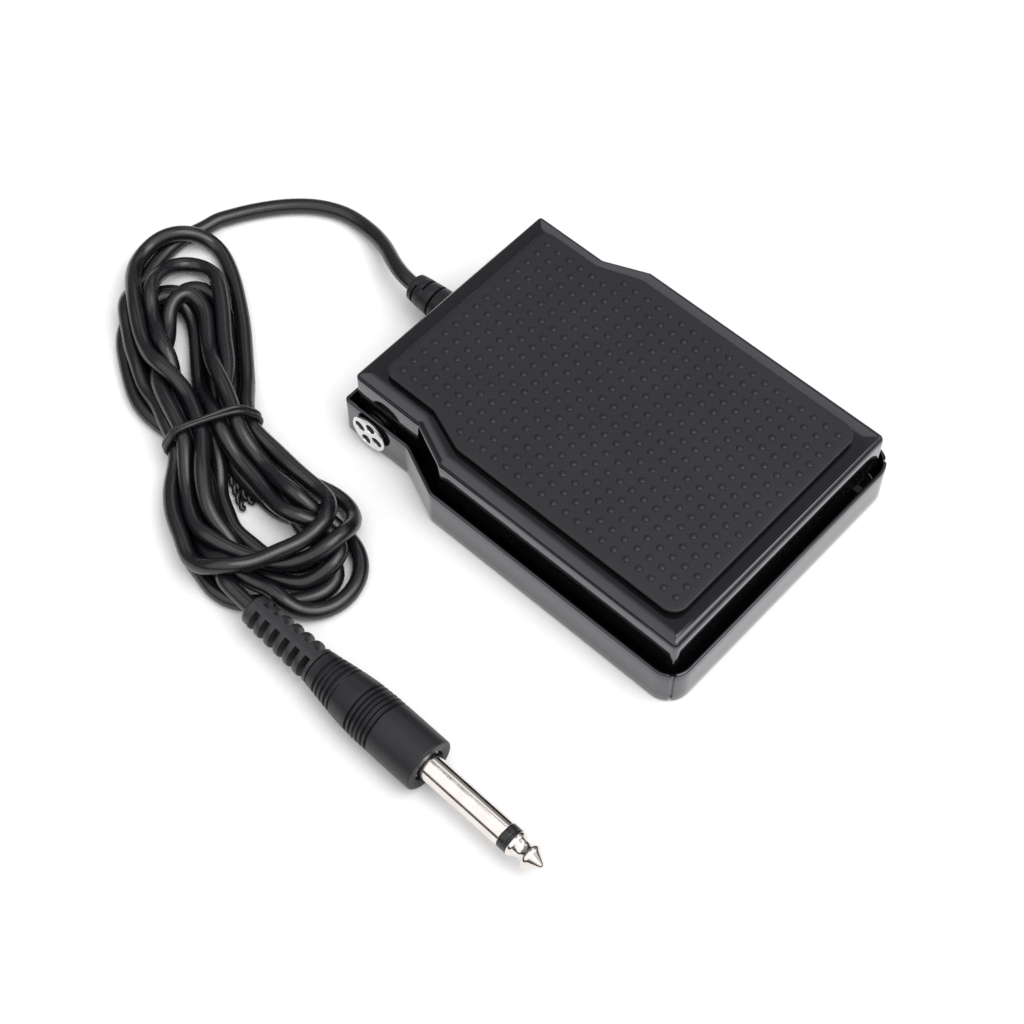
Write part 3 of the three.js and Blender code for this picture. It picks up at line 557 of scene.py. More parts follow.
def plan_ring(plan, inset, extra=()):
    """Outline points moved in by an inset, and each one's distance from the nearest front corner's
    middle. Every ring of one plan has the same number of points, so rings can be lofted."""
    corners = plan_corners(plan)
    count = len(corners)
    spots = np.array([(x, y) for x, y, radius in corners])
    runs = np.roll(spots, -1, 0) - spots
    runs /= np.linalg.norm(runs, axis=1)[:, None]
    out = np.stack([runs[:, 1], -runs[:, 0]], 1)
    points = []
    seam = []
    previous_end = None
    for i in range(count):
        before = out[i - 1]
        after = out[i]
        turn = math.asin(before[0] * after[1] - before[1] * after[0])
        corner = spots[i] - inset * (before + after) / (1 + before @ after)
        radius = corners[i][2]
        round_in = turn > 0
        radius = max(radius - inset, 0.25) if round_in else radius + inset
        reach = radius * math.tan(abs(turn) / 2)
        start = corner - runs[i - 1] * reach
        centre = start - before * radius if round_in else start + before * radius
        share = np.linspace(0, 1, 15 if abs(turn) > 1 else 7)
        front = i in (0, count - 1)
        middle_gap = np.full(len(share), 99.0)
        if front:
            arc = corners[i][2] * abs(turn)
            seam_share = 0.5 + np.array(SEAM_STATIONS) / arc
            share = np.sort(np.concatenate([share[np.abs(share - 0.5) > 0.9 / arc], seam_share]))
            middle_gap = (share - 0.5) * arc
        angle = math.atan2(before[1], before[0]) + share * turn
        normals = np.stack([np.cos(angle), np.sin(angle)], 1)
        arc_points = centre + normals * (radius if round_in else -radius)
        if previous_end is not None:
            add_run(points, seam, previous_end, arc_points[0], i - 1, extra)
        points += list(arc_points)
        seam += list(middle_gap)
        previous_end = arc_points[-1]
    add_run(points, seam, previous_end, points[0], count - 1, extra)
    return np.array(points), np.array(seam)


def add_run(points, seam, start, end, side, extra):
    """Points along a straight side, evenly and at the extra stations asked for on the rear side."""
    shares = list(np.linspace(0, 1, 14)[1:-1])
    if side == 3:
        shares += list(extra)
    for share in sorted(shares):
        points.append(start + (end - start) * share)
        seam.append(99.0)


def quarter(inset, height, radius, start, end, steps=6):
    """(inset, height) pairs round a quarter bend, its centre at (inset, height)."""
    pairs = []
    for i in range(steps + 1):
        angle = math.radians(start + (end - start) * i / steps)
        pairs.append((inset - radius * math.cos(angle), height + radius * math.sin(angle)))
    return pairs


# ---- materials -----------------------------------------------------------------------------------
def new_material(name):
    material = bpy.data.materials.new(name)
    material.use_nodes = True
    return material, material.node_tree, material.node_tree.nodes["Principled BSDF"]


def connect(tree, value, socket):
    """Links another node's output to a socket, or sets the socket's own value."""
    if hasattr(value, "is_linked"):
        tree.links.new(value, socket)
    else:
        socket.default_value = value


def add_node(tree, kind, settings=None, **sockets):
    """A node with its settings, and with values set or other nodes' outputs linked to its sockets."""
    node = tree.nodes.new(kind)
    for name, value in (settings or {}).items():
        setattr(node, name, value)
    for name, value in sockets.items():
        connect(tree, value, node.inputs[name.replace("_", " ")])
    return node


def object_noise(tree, size, detail=3.0, stretch=None):
    """Noise whose features are about size millimetres across, fixed to the piece."""
    place = add_node(tree, "ShaderNodeTexCoord").outputs["Object"]
    if stretch is not None:
        place = add_node(tree, "ShaderNodeMapping", Vector=place, Scale=stretch).outputs["Vector"]
    noise = add_node(tree, "ShaderNodeTexNoise", Vector=place, Scale=1000.0 / size, Detail=detail)
    return noise.outputs["Fac"]


def ramp(tree, value, stops):
    """Colours between stops, given as (position, colour)."""
    node = add_node(tree, "ShaderNodeValToRGB", Fac=value)
    elements = node.color_ramp.elements
    while len(elements) < len(stops):
        elements.new(0.5)
    for element, (position, colour) in zip(elements, stops):
        element.position = position
        element.color = (*colour, 1.0)
    return node.outputs["Color"]


def spread(tree, value, low, high, start=0.3, end=0.7):
    """Values from low to high as a value goes from start to end."""
    node = add_node(tree, "ShaderNodeMapRange", Value=value, From_Min=start, From_Max=end,
                    To_Min=low, To_Max=high)
    return node.outputs["Result"]


def bumped(tree, shader, layers):
    """Bump from (height, depth in millimetres) layers, one on the other."""
    normal = None
    for height, depth in layers:
        node = add_node(tree, "ShaderNodeBump", Height=height, Strength=1.0, Distance=depth * MM)
        if normal is not None:
            tree.links.new(normal, node.inputs["Normal"])
        normal = node.outputs["Normal"]
    tree.links.new(normal, shader.inputs["Normal"])


def surface(name, dark, light, rough, blotch, grain, depth, **sockets):
    """A surface whose colour and gloss drift between two values, with a fine grain.

    blotch and grain are the sizes of the drift and of the grain in millimetres.
    """
    material, tree, shader = new_material(name)
    broad = object_noise(tree, blotch)
    fine = object_noise(tree, grain, 4.0)
    tree.links.new(ramp(tree, broad, [(0.32, dark), (0.68, light)]), shader.inputs["Base Color"])
    tree.links.new(spread(tree, fine, rough[0], rough[1]), shader.inputs["Roughness"])
    bumped(tree, shader, [(broad, depth * 0.5), (fine, depth)])
    for socket, value in sockets.items():
        shader.inputs[socket.replace("_", " ")].default_value = value
    return material


def make_paint():
    """Gloss black stoved enamel on sheet steel: a faint orange peel, dust and fine rubs."""
    material, tree, shader = new_material("black_enamel")
    broad = object_noise(tree, 22.0, 2.0)
    peel = object_noise(tree, 3.2, 1.0)
    dust = object_noise(tree, 0.8, 2.0)
    rubs = object_noise(tree, 4.0, 4.0, (1.0, 7.0, 1.0))
    colour = ramp(tree, dust, [(0.0, (0.0035, 0.0035, 0.004)), (0.72, (0.005, 0.005, 0.0055)),
                               (0.82, (0.020, 0.019, 0.018))])
    tree.links.new(colour, shader.inputs["Base Color"])
    tree.links.new(spread(tree, rubs, 0.045, 0.095, 0.45, 0.75), shader.inputs["Roughness"])
    bumped(tree, shader, [(broad, 0.02), (peel, 0.0012)])
    shader.inputs["IOR"].default_value = 1.56
    shader.inputs["Specular Tint"].default_value = (0.86, 0.84, 1.0, 1.0)
    shader.inputs["Coat Weight"].default_value = 0.4
    shader.inputs["Coat Roughness"].default_value = 0.03
    shader.inputs["Coat IOR"].default_value = 1.5
    return material


def make_nickel():
    """Bright nickel plate with the fine lines of turning and polishing, and faint smears."""
    dark = (0.68, 0.64, 0.60)
    light = (0.78, 0.74, 0.70)
    material, tree, shader = new_material("nickel_plate")
    smear = object_noise(tree, 5.0, 3.0)
    lines = object_noise(tree, 0.5, 3.0, (0.15, 1.0, 0.15))
    tree.links.new(ramp(tree, smear, [(0.3, dark), (0.7, light)]), shader.inputs["Base Color"])
    tree.links.new(spread(tree, smear, 0.10, 0.20), shader.inputs["Roughness"])
    bumped(tree, shader, [(smear, 0.004), (lines, 0.0012)])
    shader.inputs["Metallic"].default_value = 1.0
    return material


def make_screw_chrome():
    """Chrome on the hinge screws' faces, with painted shade: black in the cross and down behind the face,
    where shade falls.
    """
    material, tree, shader = new_material("screw_chrome")
    place = add_node(tree, "ShaderNodeTexCoord").outputs["Object"]
    across = add_node(tree, "ShaderNodeSeparateXYZ", Vector=place).outputs["X"]
    out = add_node(tree, "ShaderNodeMath", {"operation": "ABSOLUTE"})
    tree.links.new(across, out.inputs[0])
    # painted shade: everything deeper than the face (the cross's floor and the head's side towards the
    # wall) turns black and non-metal
    face = spread(tree, out.outputs["Value"], 0.0, 1.0, 0.03562, 0.03576)
    smear = object_noise(tree, 2.0, 3.0)
    shine = ramp(tree, smear, [(0.3, (0.66, 0.66, 0.66)), (0.7, (0.84, 0.84, 0.835))])
    mix = add_node(tree, "ShaderNodeMix", {"data_type": "RGBA"})
    tree.links.new(face, mix.inputs["Factor"])
    # the black of the painted shade in the cross and behind the face
    mix.inputs[6].default_value = (0.012, 0.012, 0.012, 1.0)
    tree.links.new(shine, mix.inputs[7])
    tree.links.new(mix.outputs[2], shader.inputs["Base Color"])
    tree.links.new(spread(tree, face, 0.42, 0.15, 0.0, 1.0), shader.inputs["Roughness"])
    tree.links.new(face, shader.inputs["Metallic"])
    bumped(tree, shader, [(smear, 0.004), (object_noise(tree, 0.4, 2.0), 0.0015)])
    return material


def make_zinc():
    """Zinc plate on steel, with its crystal patches."""
    material, tree, shader = new_material("zinc_plate")
    place = add_node(tree, "ShaderNodeTexCoord").outputs["Object"]
    cells = add_node(tree, "ShaderNodeTexVoronoi", Vector=place, Scale=700.0)
    grain = object_noise(tree, 0.4, 3.0)
    tint = add_node(tree, "ShaderNodeSeparateColor", Color=cells.outputs["Color"]).outputs["Red"]
    tree.links.new(ramp(tree, tint, [(0.0, (0.40, 0.41, 0.43)), (1.0, (0.62, 0.63, 0.63))]),
                   shader.inputs["Base Color"])
    tree.links.new(spread(tree, tint, 0.26, 0.46, 0.0, 1.0), shader.inputs["Roughness"])
    bumped(tree, shader, [(grain, 0.004)])
    shader.inputs["Metallic"].default_value = 1.0
    return material


def make_floor():
    """A plain white table top with a very fine grain."""
    material, tree, shader = new_material("white_table")
    grain = object_noise(tree, 1.2, 3.0)
    tree.links.new(ramp(tree, grain, [(0.3, (0.86, 0.86, 0.865)), (0.7, (0.88, 0.88, 0.88))]),
                   shader.inputs["Base Color"])
    shader.inputs["Roughness"].default_value = 0.9
    shader.inputs["Specular IOR Level"].default_value = 0.1
    return material


PAINT = make_paint()
PAD_RUBBER = surface("pad_rubber", (0.0092, 0.0091, 0.0114), (0.0118, 0.0117, 0.0142),
                     (0.42, 0.52), 18.0, 0.35, 0.012, Specular_IOR_Level=0.36)
FOOT_RUBBER = surface("foot_rubber", (0.018, 0.018, 0.019), (0.026, 0.025, 0.025),
                      (0.6, 0.8), 4.0, 0.5, 0.02)
CORD_PVC = surface("cord_pvc", (0.0036, 0.0035, 0.0052), (0.0058, 0.0057, 0.0078),
                   (0.24, 0.33), 14.0, 0.6, 0.0012, IOR=1.54)
TIE_PVC = surface("tie_plastic", (0.007, 0.007, 0.008), (0.011, 0.011, 0.012),
                  (0.28, 0.40), 3.0, 0.4, 0.006)
PLUG_MOULDING = surface("plug_moulding", (0.0070, 0.0069, 0.0090), (0.0100, 0.0099, 0.0124),
                        (0.38, 0.50), 7.0, 0.28, 0.014, Specular_IOR_Level=0.40)
RELIEF_MOULDING = surface("relief_moulding", (0.0150, 0.0149, 0.0175), (0.0200, 0.0198, 0.0228),
                          (0.36, 0.46), 7.0, 0.28, 0.010)
PLUG_RING = surface("plug_insulation", (0.006, 0.006, 0.006), (0.010, 0.010, 0.010),
                    (0.2, 0.35), 2.0, 0.3, 0.004)
SWITCH_PLASTIC = surface("switch_plastic", (0.014, 0.014, 0.016), (0.020, 0.020, 0.022),
                         (0.4, 0.55), 3.0, 0.2, 0.008)
NYLON = surface("nylon", (0.70, 0.69, 0.61), (0.80, 0.79, 0.72), (0.35, 0.5), 2.5, 0.3, 0.005)
WIRE_RED = surface("wire_red", (0.36, 0.016, 0.014), (0.46, 0.024, 0.020),
                   (0.35, 0.5), 6.0, 0.4, 0.004)
NICKEL = make_nickel()
SCREW_NICKEL = make_screw_chrome()
ZINC = make_zinc()
BRASS = surface("terminal_brass", (0.50, 0.36, 0.14), (0.66, 0.49, 0.22),
                (0.22, 0.4), 1.5, 0.2, 0.004, Metallic=1.0)

SLOT_MATERIALS = {
    "black_paint": PAINT, "pad_rubber": PAD_RUBBER, "foot_rubber": FOOT_RUBBER, "nickel_plate": NICKEL,
    "zinc_steel": ZINC, "nylon": NYLON, "switch_plastic": SWITCH_PLASTIC, "terminal_brass": BRASS,
    "cable_pvc": CORD_PVC, "tie_plastic": TIE_PVC, "wire_red": WIRE_RED, "plug_moulding": PLUG_MOULDING,
    "plug_insulation": PLUG_RING,
}


def dress_frame():
    """Gives every CAD node the procedural material of its slot."""
    slot_of = {part["node"]: part["material_slot"] for part in frame["record"]["subparts"]}
    for name, node in frame["nodes"].items():
        for slot in node.material_slots:
            slot.material = SLOT_MATERIALS[slot_of[name]]


dress_frame()

# ---- base pan ------------------------------------------------------------------------------------
SLIT_WIDTH = 0.36            # half the width of the butt seams at the pan's front corners
SLIT_DEPTH = 0.85
NOTCH_DEPTH = 1.1            # the V where a seam meets the rim


def seam_depth(gap):
    """How far a seam sinks into the wall at a distance from its middle, with rolled-in edges."""
    gap = np.abs(gap)
    depth = np.where(gap < SLIT_WIDTH - 0.01, SLIT_DEPTH, 0.0)
    return np.where((gap >= SLIT_WIDTH - 0.01) & (gap < 0.55), 0.14 * (0.55 - gap) / 0.2, depth)


def rim_dip(gap):
    return np.clip(1 - np.abs(gap) / 0.8, 0, 1) * NOTCH_DEPTH


def tray_rings(plan, sections, seamed=False, drop=None, extra=()):
    """Rings of a sheet tray from (inset, height, outside, rim) sections."""
    rings = []
    for inset, height, outside, rim in sections:
        ring, gap = plan_ring(plan, inset, extra)
        if seamed and outside:
            deeper, gap = plan_ring(plan, inset + SLIT_DEPTH, extra)
            share = (seam_depth(gap) / SLIT_DEPTH)[:, None]
            ring = ring + (deeper - ring) * share
        heights = np.full(len(ring), height)
        if seamed and rim:
            heights = heights - rim_dip(gap) * rim
        if drop is not None:
            heights = drop(ring, heights, rim)
        rings.append(np.column_stack([ring, heights]))
    return rings


def make_base_pan():
    """The stamped pan: its open-edged wall comes down past its floor plate, with rolled lips."""
    lip = 0.42
    foot = 0.3
    bend = 2.2
    bottom = [(SHEET + 0.01, BASE_BOTTOM, False, 0), (SHEET, WALL_BOTTOM + 0.1, False, 0)]
    bottom += [(SHEET - 0.1, WALL_BOTTOM, False, 0)]
    bottom += [(i, h, True, 0) for i, h in quarter(foot, WALL_BOTTOM + foot, foot, -90, 0, 3)]
    wall = [(0.0, h, True, 0) for h in (3.0, 6.0, 9.0)]
    outer_lip = [(i, h, True, 1) for i, h in quarter(lip, BASE_RIM - lip, lip, 0, 90, 4)]
    inner_lip = [(i, h, False, 1) for i, h in quarter(SHEET - lip, BASE_RIM - lip, lip, 90, 180, 4)]
    inner_wall = [(SHEET, 8.0, False, 0)]
    inner = quarter(bend, BASE_BOTTOM + bend, bend - SHEET, 0, -90)
    inside = [(i, h, False, 0) for i, h in inner]
    sections = bottom + wall + outer_lip + inner_lip + inner_wall + inside
    rings = tray_rings(BASE_PLAN, sections, seamed=True)
    points, faces = loft(rings)
    pan = add_mesh("base_pan_shell", points, faces, PAINT, "base", 42)
    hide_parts("base_pan")
    shank, tool_faces = turned([(25.0, SHANK_HOLE), (60.0, SHANK_HOLE)], 32)
    for side in (1, -1):
        cut_away(pan, along_x(shank, PIVOT_Y, PIVOT_Z, side), tool_faces)
    gland, tool_faces = turned([(50.0, 3.5), (58.0, 3.5)], 40)
    cut_away(pan, along_y(gland, GLAND_X, GLAND_Z), tool_faces)
    finish_piece(pan, PAINT, "base", 42)


def make_feet():
    """Four rubber feet, slightly dished underneath."""
    profile = rounded([(0.0, 0.0), (0.0, FOOT_RADIUS - 0.35), (0.35, FOOT_RADIUS),
                       (FOOT_HEIGHT, FOOT_RADIUS), (FOOT_HEIGHT, 0.0)], 0.25)
    dish = [(0.25, 0.0), (0.22, 2.6), (0.05, 3.6)]
    for index, (x, y) in enumerate(FOOT_CENTRES):
        points, faces = turned(dish + profile[1:], 48)
        name = f"foot_{index + 1}"
        foot = add_mesh(f"{name}_pad", along_z(points, x, y), faces, FOOT_RUBBER,
                        "base", 50)
        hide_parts(name)


def make_spring():
    """The return spring: a fixed coil as tall as the CAD spring, which does not shorten here as the cover
    comes down.
    """
    node = frame["nodes"]["return_spring"]
    heights = [(node.matrix_world @ vertex.co).z / MM for vertex in node.data.vertices]
    low, high = min(heights), max(heights)
    per_turn = 36
    count = SPRING_TURNS * per_turn
    rings = []
    for i in range(count + 1):
        angle = 2 * math.pi * i / per_turn
        out = np.array([math.cos(angle), math.sin(angle), 0.0])
        height = low + SPRING_WIRE + (high - low - 2 * SPRING_WIRE) * i / count
        middle = out * SPRING_RADIUS + [0.0, SPRING_Y, height]
        turns = np.linspace(0, 2 * math.pi, 10, endpoint=False)[:, None]
        rings.append(middle + SPRING_WIRE * (np.cos(turns) * out + np.sin(turns) * [0.0, 0.0, 1.0]))
    points, faces = loft(rings)
    spring = add_mesh("return_spring_coil", points, faces, ZINC, "base", 60)
    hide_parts("return_spring")
    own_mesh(spring)


# ---- cover and pad -------------------------------------------------------------------------------
SLOPE = 0.22                 # how much the flange rises from its bend to the pad
GLAND_GAP = 2.4              # how much higher the skirt's edge is over the gland


def make_cover():
    """The stamped cover: a skirt with a rounded lip, a bend and a slightly rising flange."""
    bend = 1.6
    lip = 0.35
    inside = [(i, h, False, 0) for i, h in quarter(bend, COVER_TOP - bend, bend - SHEET, 90, 0)]
    inside += [(SHEET, h, False, 0) for h in (16.0, 13.9)]
    inner_lip = [(i, h, False, 1) for i, h in quarter(SHEET - lip, SKIRT_BOTTOM + lip, -lip, 0, 90, 3)]
    outer_lip = [(i, h, True, 1) for i, h in quarter(lip, SKIRT_BOTTOM + lip, lip, -90, 0, 3)]
    wall = [(0.0, h, True, 0) for h in (13.9, 16.0, 19.0)]
    top = [(i, h, True, 0) for i, h in quarter(bend, COVER_TOP - bend, bend, 0, 90, 8)]
    flange = [(bend + 2.7 * t, COVER_TOP + SLOPE * (1 - (1 - t) ** 2), True, 0)
              for t in np.linspace(0.12, 1, 8)]
    flange.append((6.0, COVER_TOP + SLOPE, True, 0))

    def gland_gap(ring, heights, rim):
        at_gland = (np.abs(ring[:, 0] - GLAND_X) < 6.05) & (ring[:, 1] > 48)
        return np.where(at_gland & (rim > 0), heights + GLAND_GAP, heights)

    rear = 2 * COVER_PLAN["rear"] - 2 * COVER_PLAN["r_rear"]
    spots = [COVER_PLAN["rear"] - COVER_PLAN["r_rear"] - x for x in (9.3, 9.2, -2.6, -2.7)]
    rings = tray_rings(COVER_PLAN, inside + inner_lip + outer_lip + wall + top + flange, drop=gland_gap,
                       extra=[spot / rear for spot in spots])
    points, faces = loft(rings)
    cover = add_mesh("cover_shell", points, faces, PAINT, "cover", 42)
    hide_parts("top_cover")


def make_ears():
    """The cover's two ears, which hang inside the pan and turn on the hinge bushes."""
    for side, label in ((1, "right"), (-1, "left")):
        edge = [(PIVOT_Y + EAR_RADIUS, SKIRT_BOTTOM + 1.5)]
        for i in range(33):
            angle = math.pi * i / 32
            edge.append((PIVOT_Y + EAR_RADIUS * math.cos(angle),
                         PIVOT_Z - EAR_RADIUS * math.sin(angle)))
        edge.append((PIVOT_Y - EAR_RADIUS, SKIRT_BOTTOM + 1.5))
        rings = []
        for x, grow in ((31.62, -0.15), (31.75, 0.0), (32.45, 0.0), (32.58, -0.15)):
            middle = np.array([PIVOT_Y, PIVOT_Z + 1.0])
            spots = np.array(edge)
            reach = np.linalg.norm(spots - middle, axis=1)[:, None]
            spots = middle + (spots - middle) * (1 + grow / reach)
            rings.append(np.column_stack([np.full(len(spots), side * x), spots]))
        points, faces = loft(rings)
        ear = add_mesh(f"cover_ear_{label}", points, faces, PAINT, "cover")
        hole, hole_faces = turned([(28.0, BUSH_HOLE), (36.0, BUSH_HOLE)], 32)
        cut_away(ear, along_x(hole, PIVOT_Y, PIVOT_Z, side), hole_faces)
        finish_piece(ear, PAINT, "cover")


DOT_PITCH = 3.6
DOT_RADIUS = 0.85
DOT_HEIGHT = 0.32


def make_pad():
    """The rubber pad, undercut at its edge, with rows of low round domes."""
    sections = [(0.75, PAD_BOTTOM), (0.6, PAD_BOTTOM + 0.1), (0.3, PAD_BOTTOM + 0.8), (0.05, PAD_TOP - 0.5),
                (0.0, PAD_TOP - 0.32), (0.06, PAD_TOP - 0.14), (0.22, PAD_TOP - 0.03), (0.42, PAD_TOP),
                (1.6, PAD_TOP)]
    rings = tray_rings(PAD_PLAN, [(inset, height, True, 0) for inset, height in sections])
    shapes = [loft(rings)]
    dot, dot_faces = turned([(-0.05, 0.0), (-0.05, DOT_RADIUS + 0.06), (0.02, DOT_RADIUS),
                             (0.14, DOT_RADIUS - 0.07), (0.23, DOT_RADIUS - 0.2), (0.29, DOT_RADIUS - 0.4),
                             (DOT_HEIGHT, DOT_RADIUS - 0.62), (DOT_HEIGHT + 0.01, 0.0)], 20)
    border = plan_ring(PAD_PLAN, 2.6)[0]
    for row in range(40):
        y = PAD_PLAN["y_front"] + 3.3 + DOT_PITCH * row
        for column in range(-12, 13):
            x = DOT_PITCH * column
            if inside_outline(border, x, y):
                shapes.append((along_z(dot, x, y) + [0, 0, PAD_TOP], dot_faces))
    points, faces = joined(shapes)
    pad = add_mesh("tread_pad", points, faces, PAD_RUBBER, "cover", 40)
    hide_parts("rubber_pad")


def inside_outline(loop, x, y):
    """Whether a spot lies inside a closed outline."""
    hit = False
    for (x0, y0), (x1, y1) in zip(loop, np.roll(loop, -1, 0)):
        if (y0 > y) != (y1 > y) and x < (x1 - x0) * (y - y0) / (y1 - y0) + x0:
            hit = not hit
    return hit


# ---- hinge screws --------------------------------------------------------------------------------
def cross_tool(depth_from, depth_to):
    """The driver's cross: four deep lobes round a small middle."""
    lobes = []
    for quarter_turn in range(4):
        turn = math.radians(90 * quarter_turn + 17)
        c, s = math.cos(turn), math.sin(turn)
        rings = []
        for station, share in ((depth_from, 0.8), (depth_from + 0.4, 0.95), (depth_to, 1.05)):
            ring = []
            for i in range(20):
                angle = 2 * math.pi * i / 20
                along = 2.8 + 1.6 * share * math.cos(angle)
                across = 1.35 * share * math.sin(angle) * (1 + 0.25 * math.cos(angle))
                ring.append((station, along * c - across * s, along * s + across * c))
            rings.append(np.array(ring))
        lobes.append(loft(rings))
    return joined(lobes)


def make_pivot_screws():
    """The two hinge screws: flat round heads with the driver's cross cut into them."""
    face = 35.0
    top = face + 0.95
    profile = [(face - 9.9, 0.0), (face - 9.9, 1.7), (face - 9.6, 2.0), (face, 2.0), (face, 4.7),
               (face + 0.3, 4.7), (face + 0.42, 5.05), (face + 0.55, SCREW_HEAD), (face + 0.75, SCREW_HEAD),
               (face + 0.87, 5.1), (face + 0.92, 4.9), (face + 0.9, 4.65), (face + 0.83, 4.45),
               (face + 0.83, 2.2), (face + 0.9, 1.2), (face + 0.93, 0.5), (top, 0.0)]
    for side, label in ((1, "right"), (-1, "left")):
        points, faces = turned(profile, 72)
        screw = add_mesh(f"pivot_screw_{label}_head", along_x(points, PIVOT_Y, PIVOT_Z, side), faces,
                         SCREW_NICKEL, "base", 40)
        tool, tool_faces = cross_tool(top - 0.9, top + 0.3)
        cut_away(screw, along_x(tool, PIVOT_Y, PIVOT_Z, side), tool_faces)
        finish_piece(screw, SCREW_NICKEL, "base", 40)
        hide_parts(f"pivot_screw_{label}")


# ---- gland ---------------------------------------------------------------------------------------
def make_gland():
    """The lead's tapered strain relief, with thin slits on alternate sides."""
    start = GLAND_START_Y
    inner = [(start - 2.9, 0.0), (start - 2.9, 4.6), (start - 1.5, 4.6), (start - 1.4, 3.2),
             (start + 0.05, 3.2)]
    body = [(start, 4.6), (start + 4.9, 4.35), (start + 4.95, 3.0), (start + 5.5, 3.0), (start + 5.55, 4.3),
            (start + 8.3, 4.05), (start + 8.35, 2.9), (start + 8.9, 2.9), (start + 8.95, 4.0),
            (start + 10.6, 3.8), (start + 10.65, 2.8), (start + 11.1, 2.8), (start + 11.15, 3.75),
            (start + 12.5, 3.55), (start + 13.0, 2.9), (start + 13.05, 0.0)]
    profile = inner + rounded(body, 0.12)
    stations = [station for station, radius in profile]
    radii = [max(radius, 0.01) for station, radius in profile]

    def radius_at(index, angles):
        ring = np.full(len(angles), radii[index])
        y = stations[index] - start
        upper = np.abs(np.angle(np.exp(1j * (angles - 0.5)))) < 0.9
        if 8.2 < y < 9.05:
            return np.where(upper, ring, np.maximum(ring, 4.02))
        if 10.55 < y < 11.2:
            return np.where(upper, np.maximum(ring, 3.78), ring)
        return ring

    points, faces = loft(round_grid(stations, radius_at, 72))
    gland = add_mesh("cable_gland_boot", along_y(points, GLAND_X, GLAND_Z), faces, PLUG_MOULDING, "base",
                     45)
    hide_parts("cable_gland")


# ---- plug ----------------------------------------------------------------------------------------
def even_stations(start, end, step):
    count = max(2, int(round(abs(end - start) / step)) + 1)
    return list(np.linspace(start, end, count))


def make_relief():
    """The ribbed strain relief: rows of windows on both sides of a smooth spine."""
    start = RELIEF_END
    end = SHELL_START + 0.3
    pitch = 3.3
    window = 1.6
    first = SHELL_START + 1.3
    stations = even_stations(start, end, 0.15)
    sides = 112

    def radius_at(index, angles):
        y = stations[index]
        share = (start - y) / (start - end)
        outer = 3.75 + 0.85 * share
        outer -= 0.5 * max(0.0, 1 - (start - y) / 0.6) ** 2
        place = (y - first) % pitch
        in_rows = first - 0.2 < y < first + 6 * pitch - 1.0
        open_here = in_rows and place < window
        on_rib = in_rows and place >= window
        rib = math.sin(math.pi * (place - window) / (pitch - window)) if on_rib else 0.0
        bow = np.sin(angles) ** 2
        ring = outer + 0.22 * max(rib, 0.0) * bow
        side_on = np.abs(np.cos(angles)) < math.cos(math.asin(0.32))
        if open_here:
            edge = min(place, window - place)
            depth = 1.9 if edge > 0.12 else 1.9 + (outer - 1.9) * (0.12 - edge) / 0.12 * 0.6
            ring = np.where(side_on, depth, ring)
        return ring

    rings = round_grid(stations, radius_at, sides)
    points, faces = loft(rings)
    relief = add_mesh("plug_relief_boot", on_plug(points), faces, RELIEF_MOULDING,
                      "base", 38)
    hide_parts("plug_strain_relief")
    return relief


def groove(y, centres, half_width, depth):
    """How deep the nearest of a set of grooves is at a station."""
    gap = min(abs(y - centre) for centre in centres)
    return depth * max(0.0, 1 - (gap / half_width) ** 4) if gap < half_width else 0.0


def shell_radius(y):
    """The moulded shell's outline, without its grooves."""
    spots = [(9.0, 4.75), (7.5, 4.9), (4.5, 5.4), (0.0, 6.05), (-4.0, 6.5), (-9.0, SHELL_RADIUS),
             (SHELL_FRONT, SHELL_RADIUS)]
    ys = [-spot[0] for spot in spots]
    return float(np.interp(-y, ys, [spot[1] for spot in spots]))


def make_shell():
    """The plug's moulded shell, with fine grooves behind and broad ones in the middle."""
    fine = [6.2 - 1.4 * i for i in range(5)]
    broad = [-5.6 - 1.3 * i for i in range(6)]
    outside = even_stations(SHELL_START, SHELL_FRONT, 0.12)
    profile = [[SHELL_START, 0.0], [SHELL_START, 4.2]]
    for y in outside[1:]:
        radius = shell_radius(y) - groove(y, fine, 0.36, 0.6) - groove(y, broad, 0.40, 0.75)
        radius -= 0.3 * max(0.0, 1 - (y - SHELL_FRONT) / 0.4) ** 2
        profile.append([y, radius])
    recess = SHELL_FRONT + 1.3
    profile += [[SHELL_FRONT, 6.2], [SHELL_FRONT, 4.4], [SHELL_FRONT + 0.15, 4.2], [recess, 4.1],
                [recess, 0.0]]
    points, faces = turned(profile, 96)
    shell = add_mesh("plug_shell_body", on_plug(points), faces, PLUG_MOULDING, "base", 40)
    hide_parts("plug_shell")
    return shell


def plug_piece(name, profile, material, node):
    points, faces = turned(profile, 72)
    piece = add_mesh(name, on_plug(points), faces, material, "base", 35)
    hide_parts(node)
    return piece


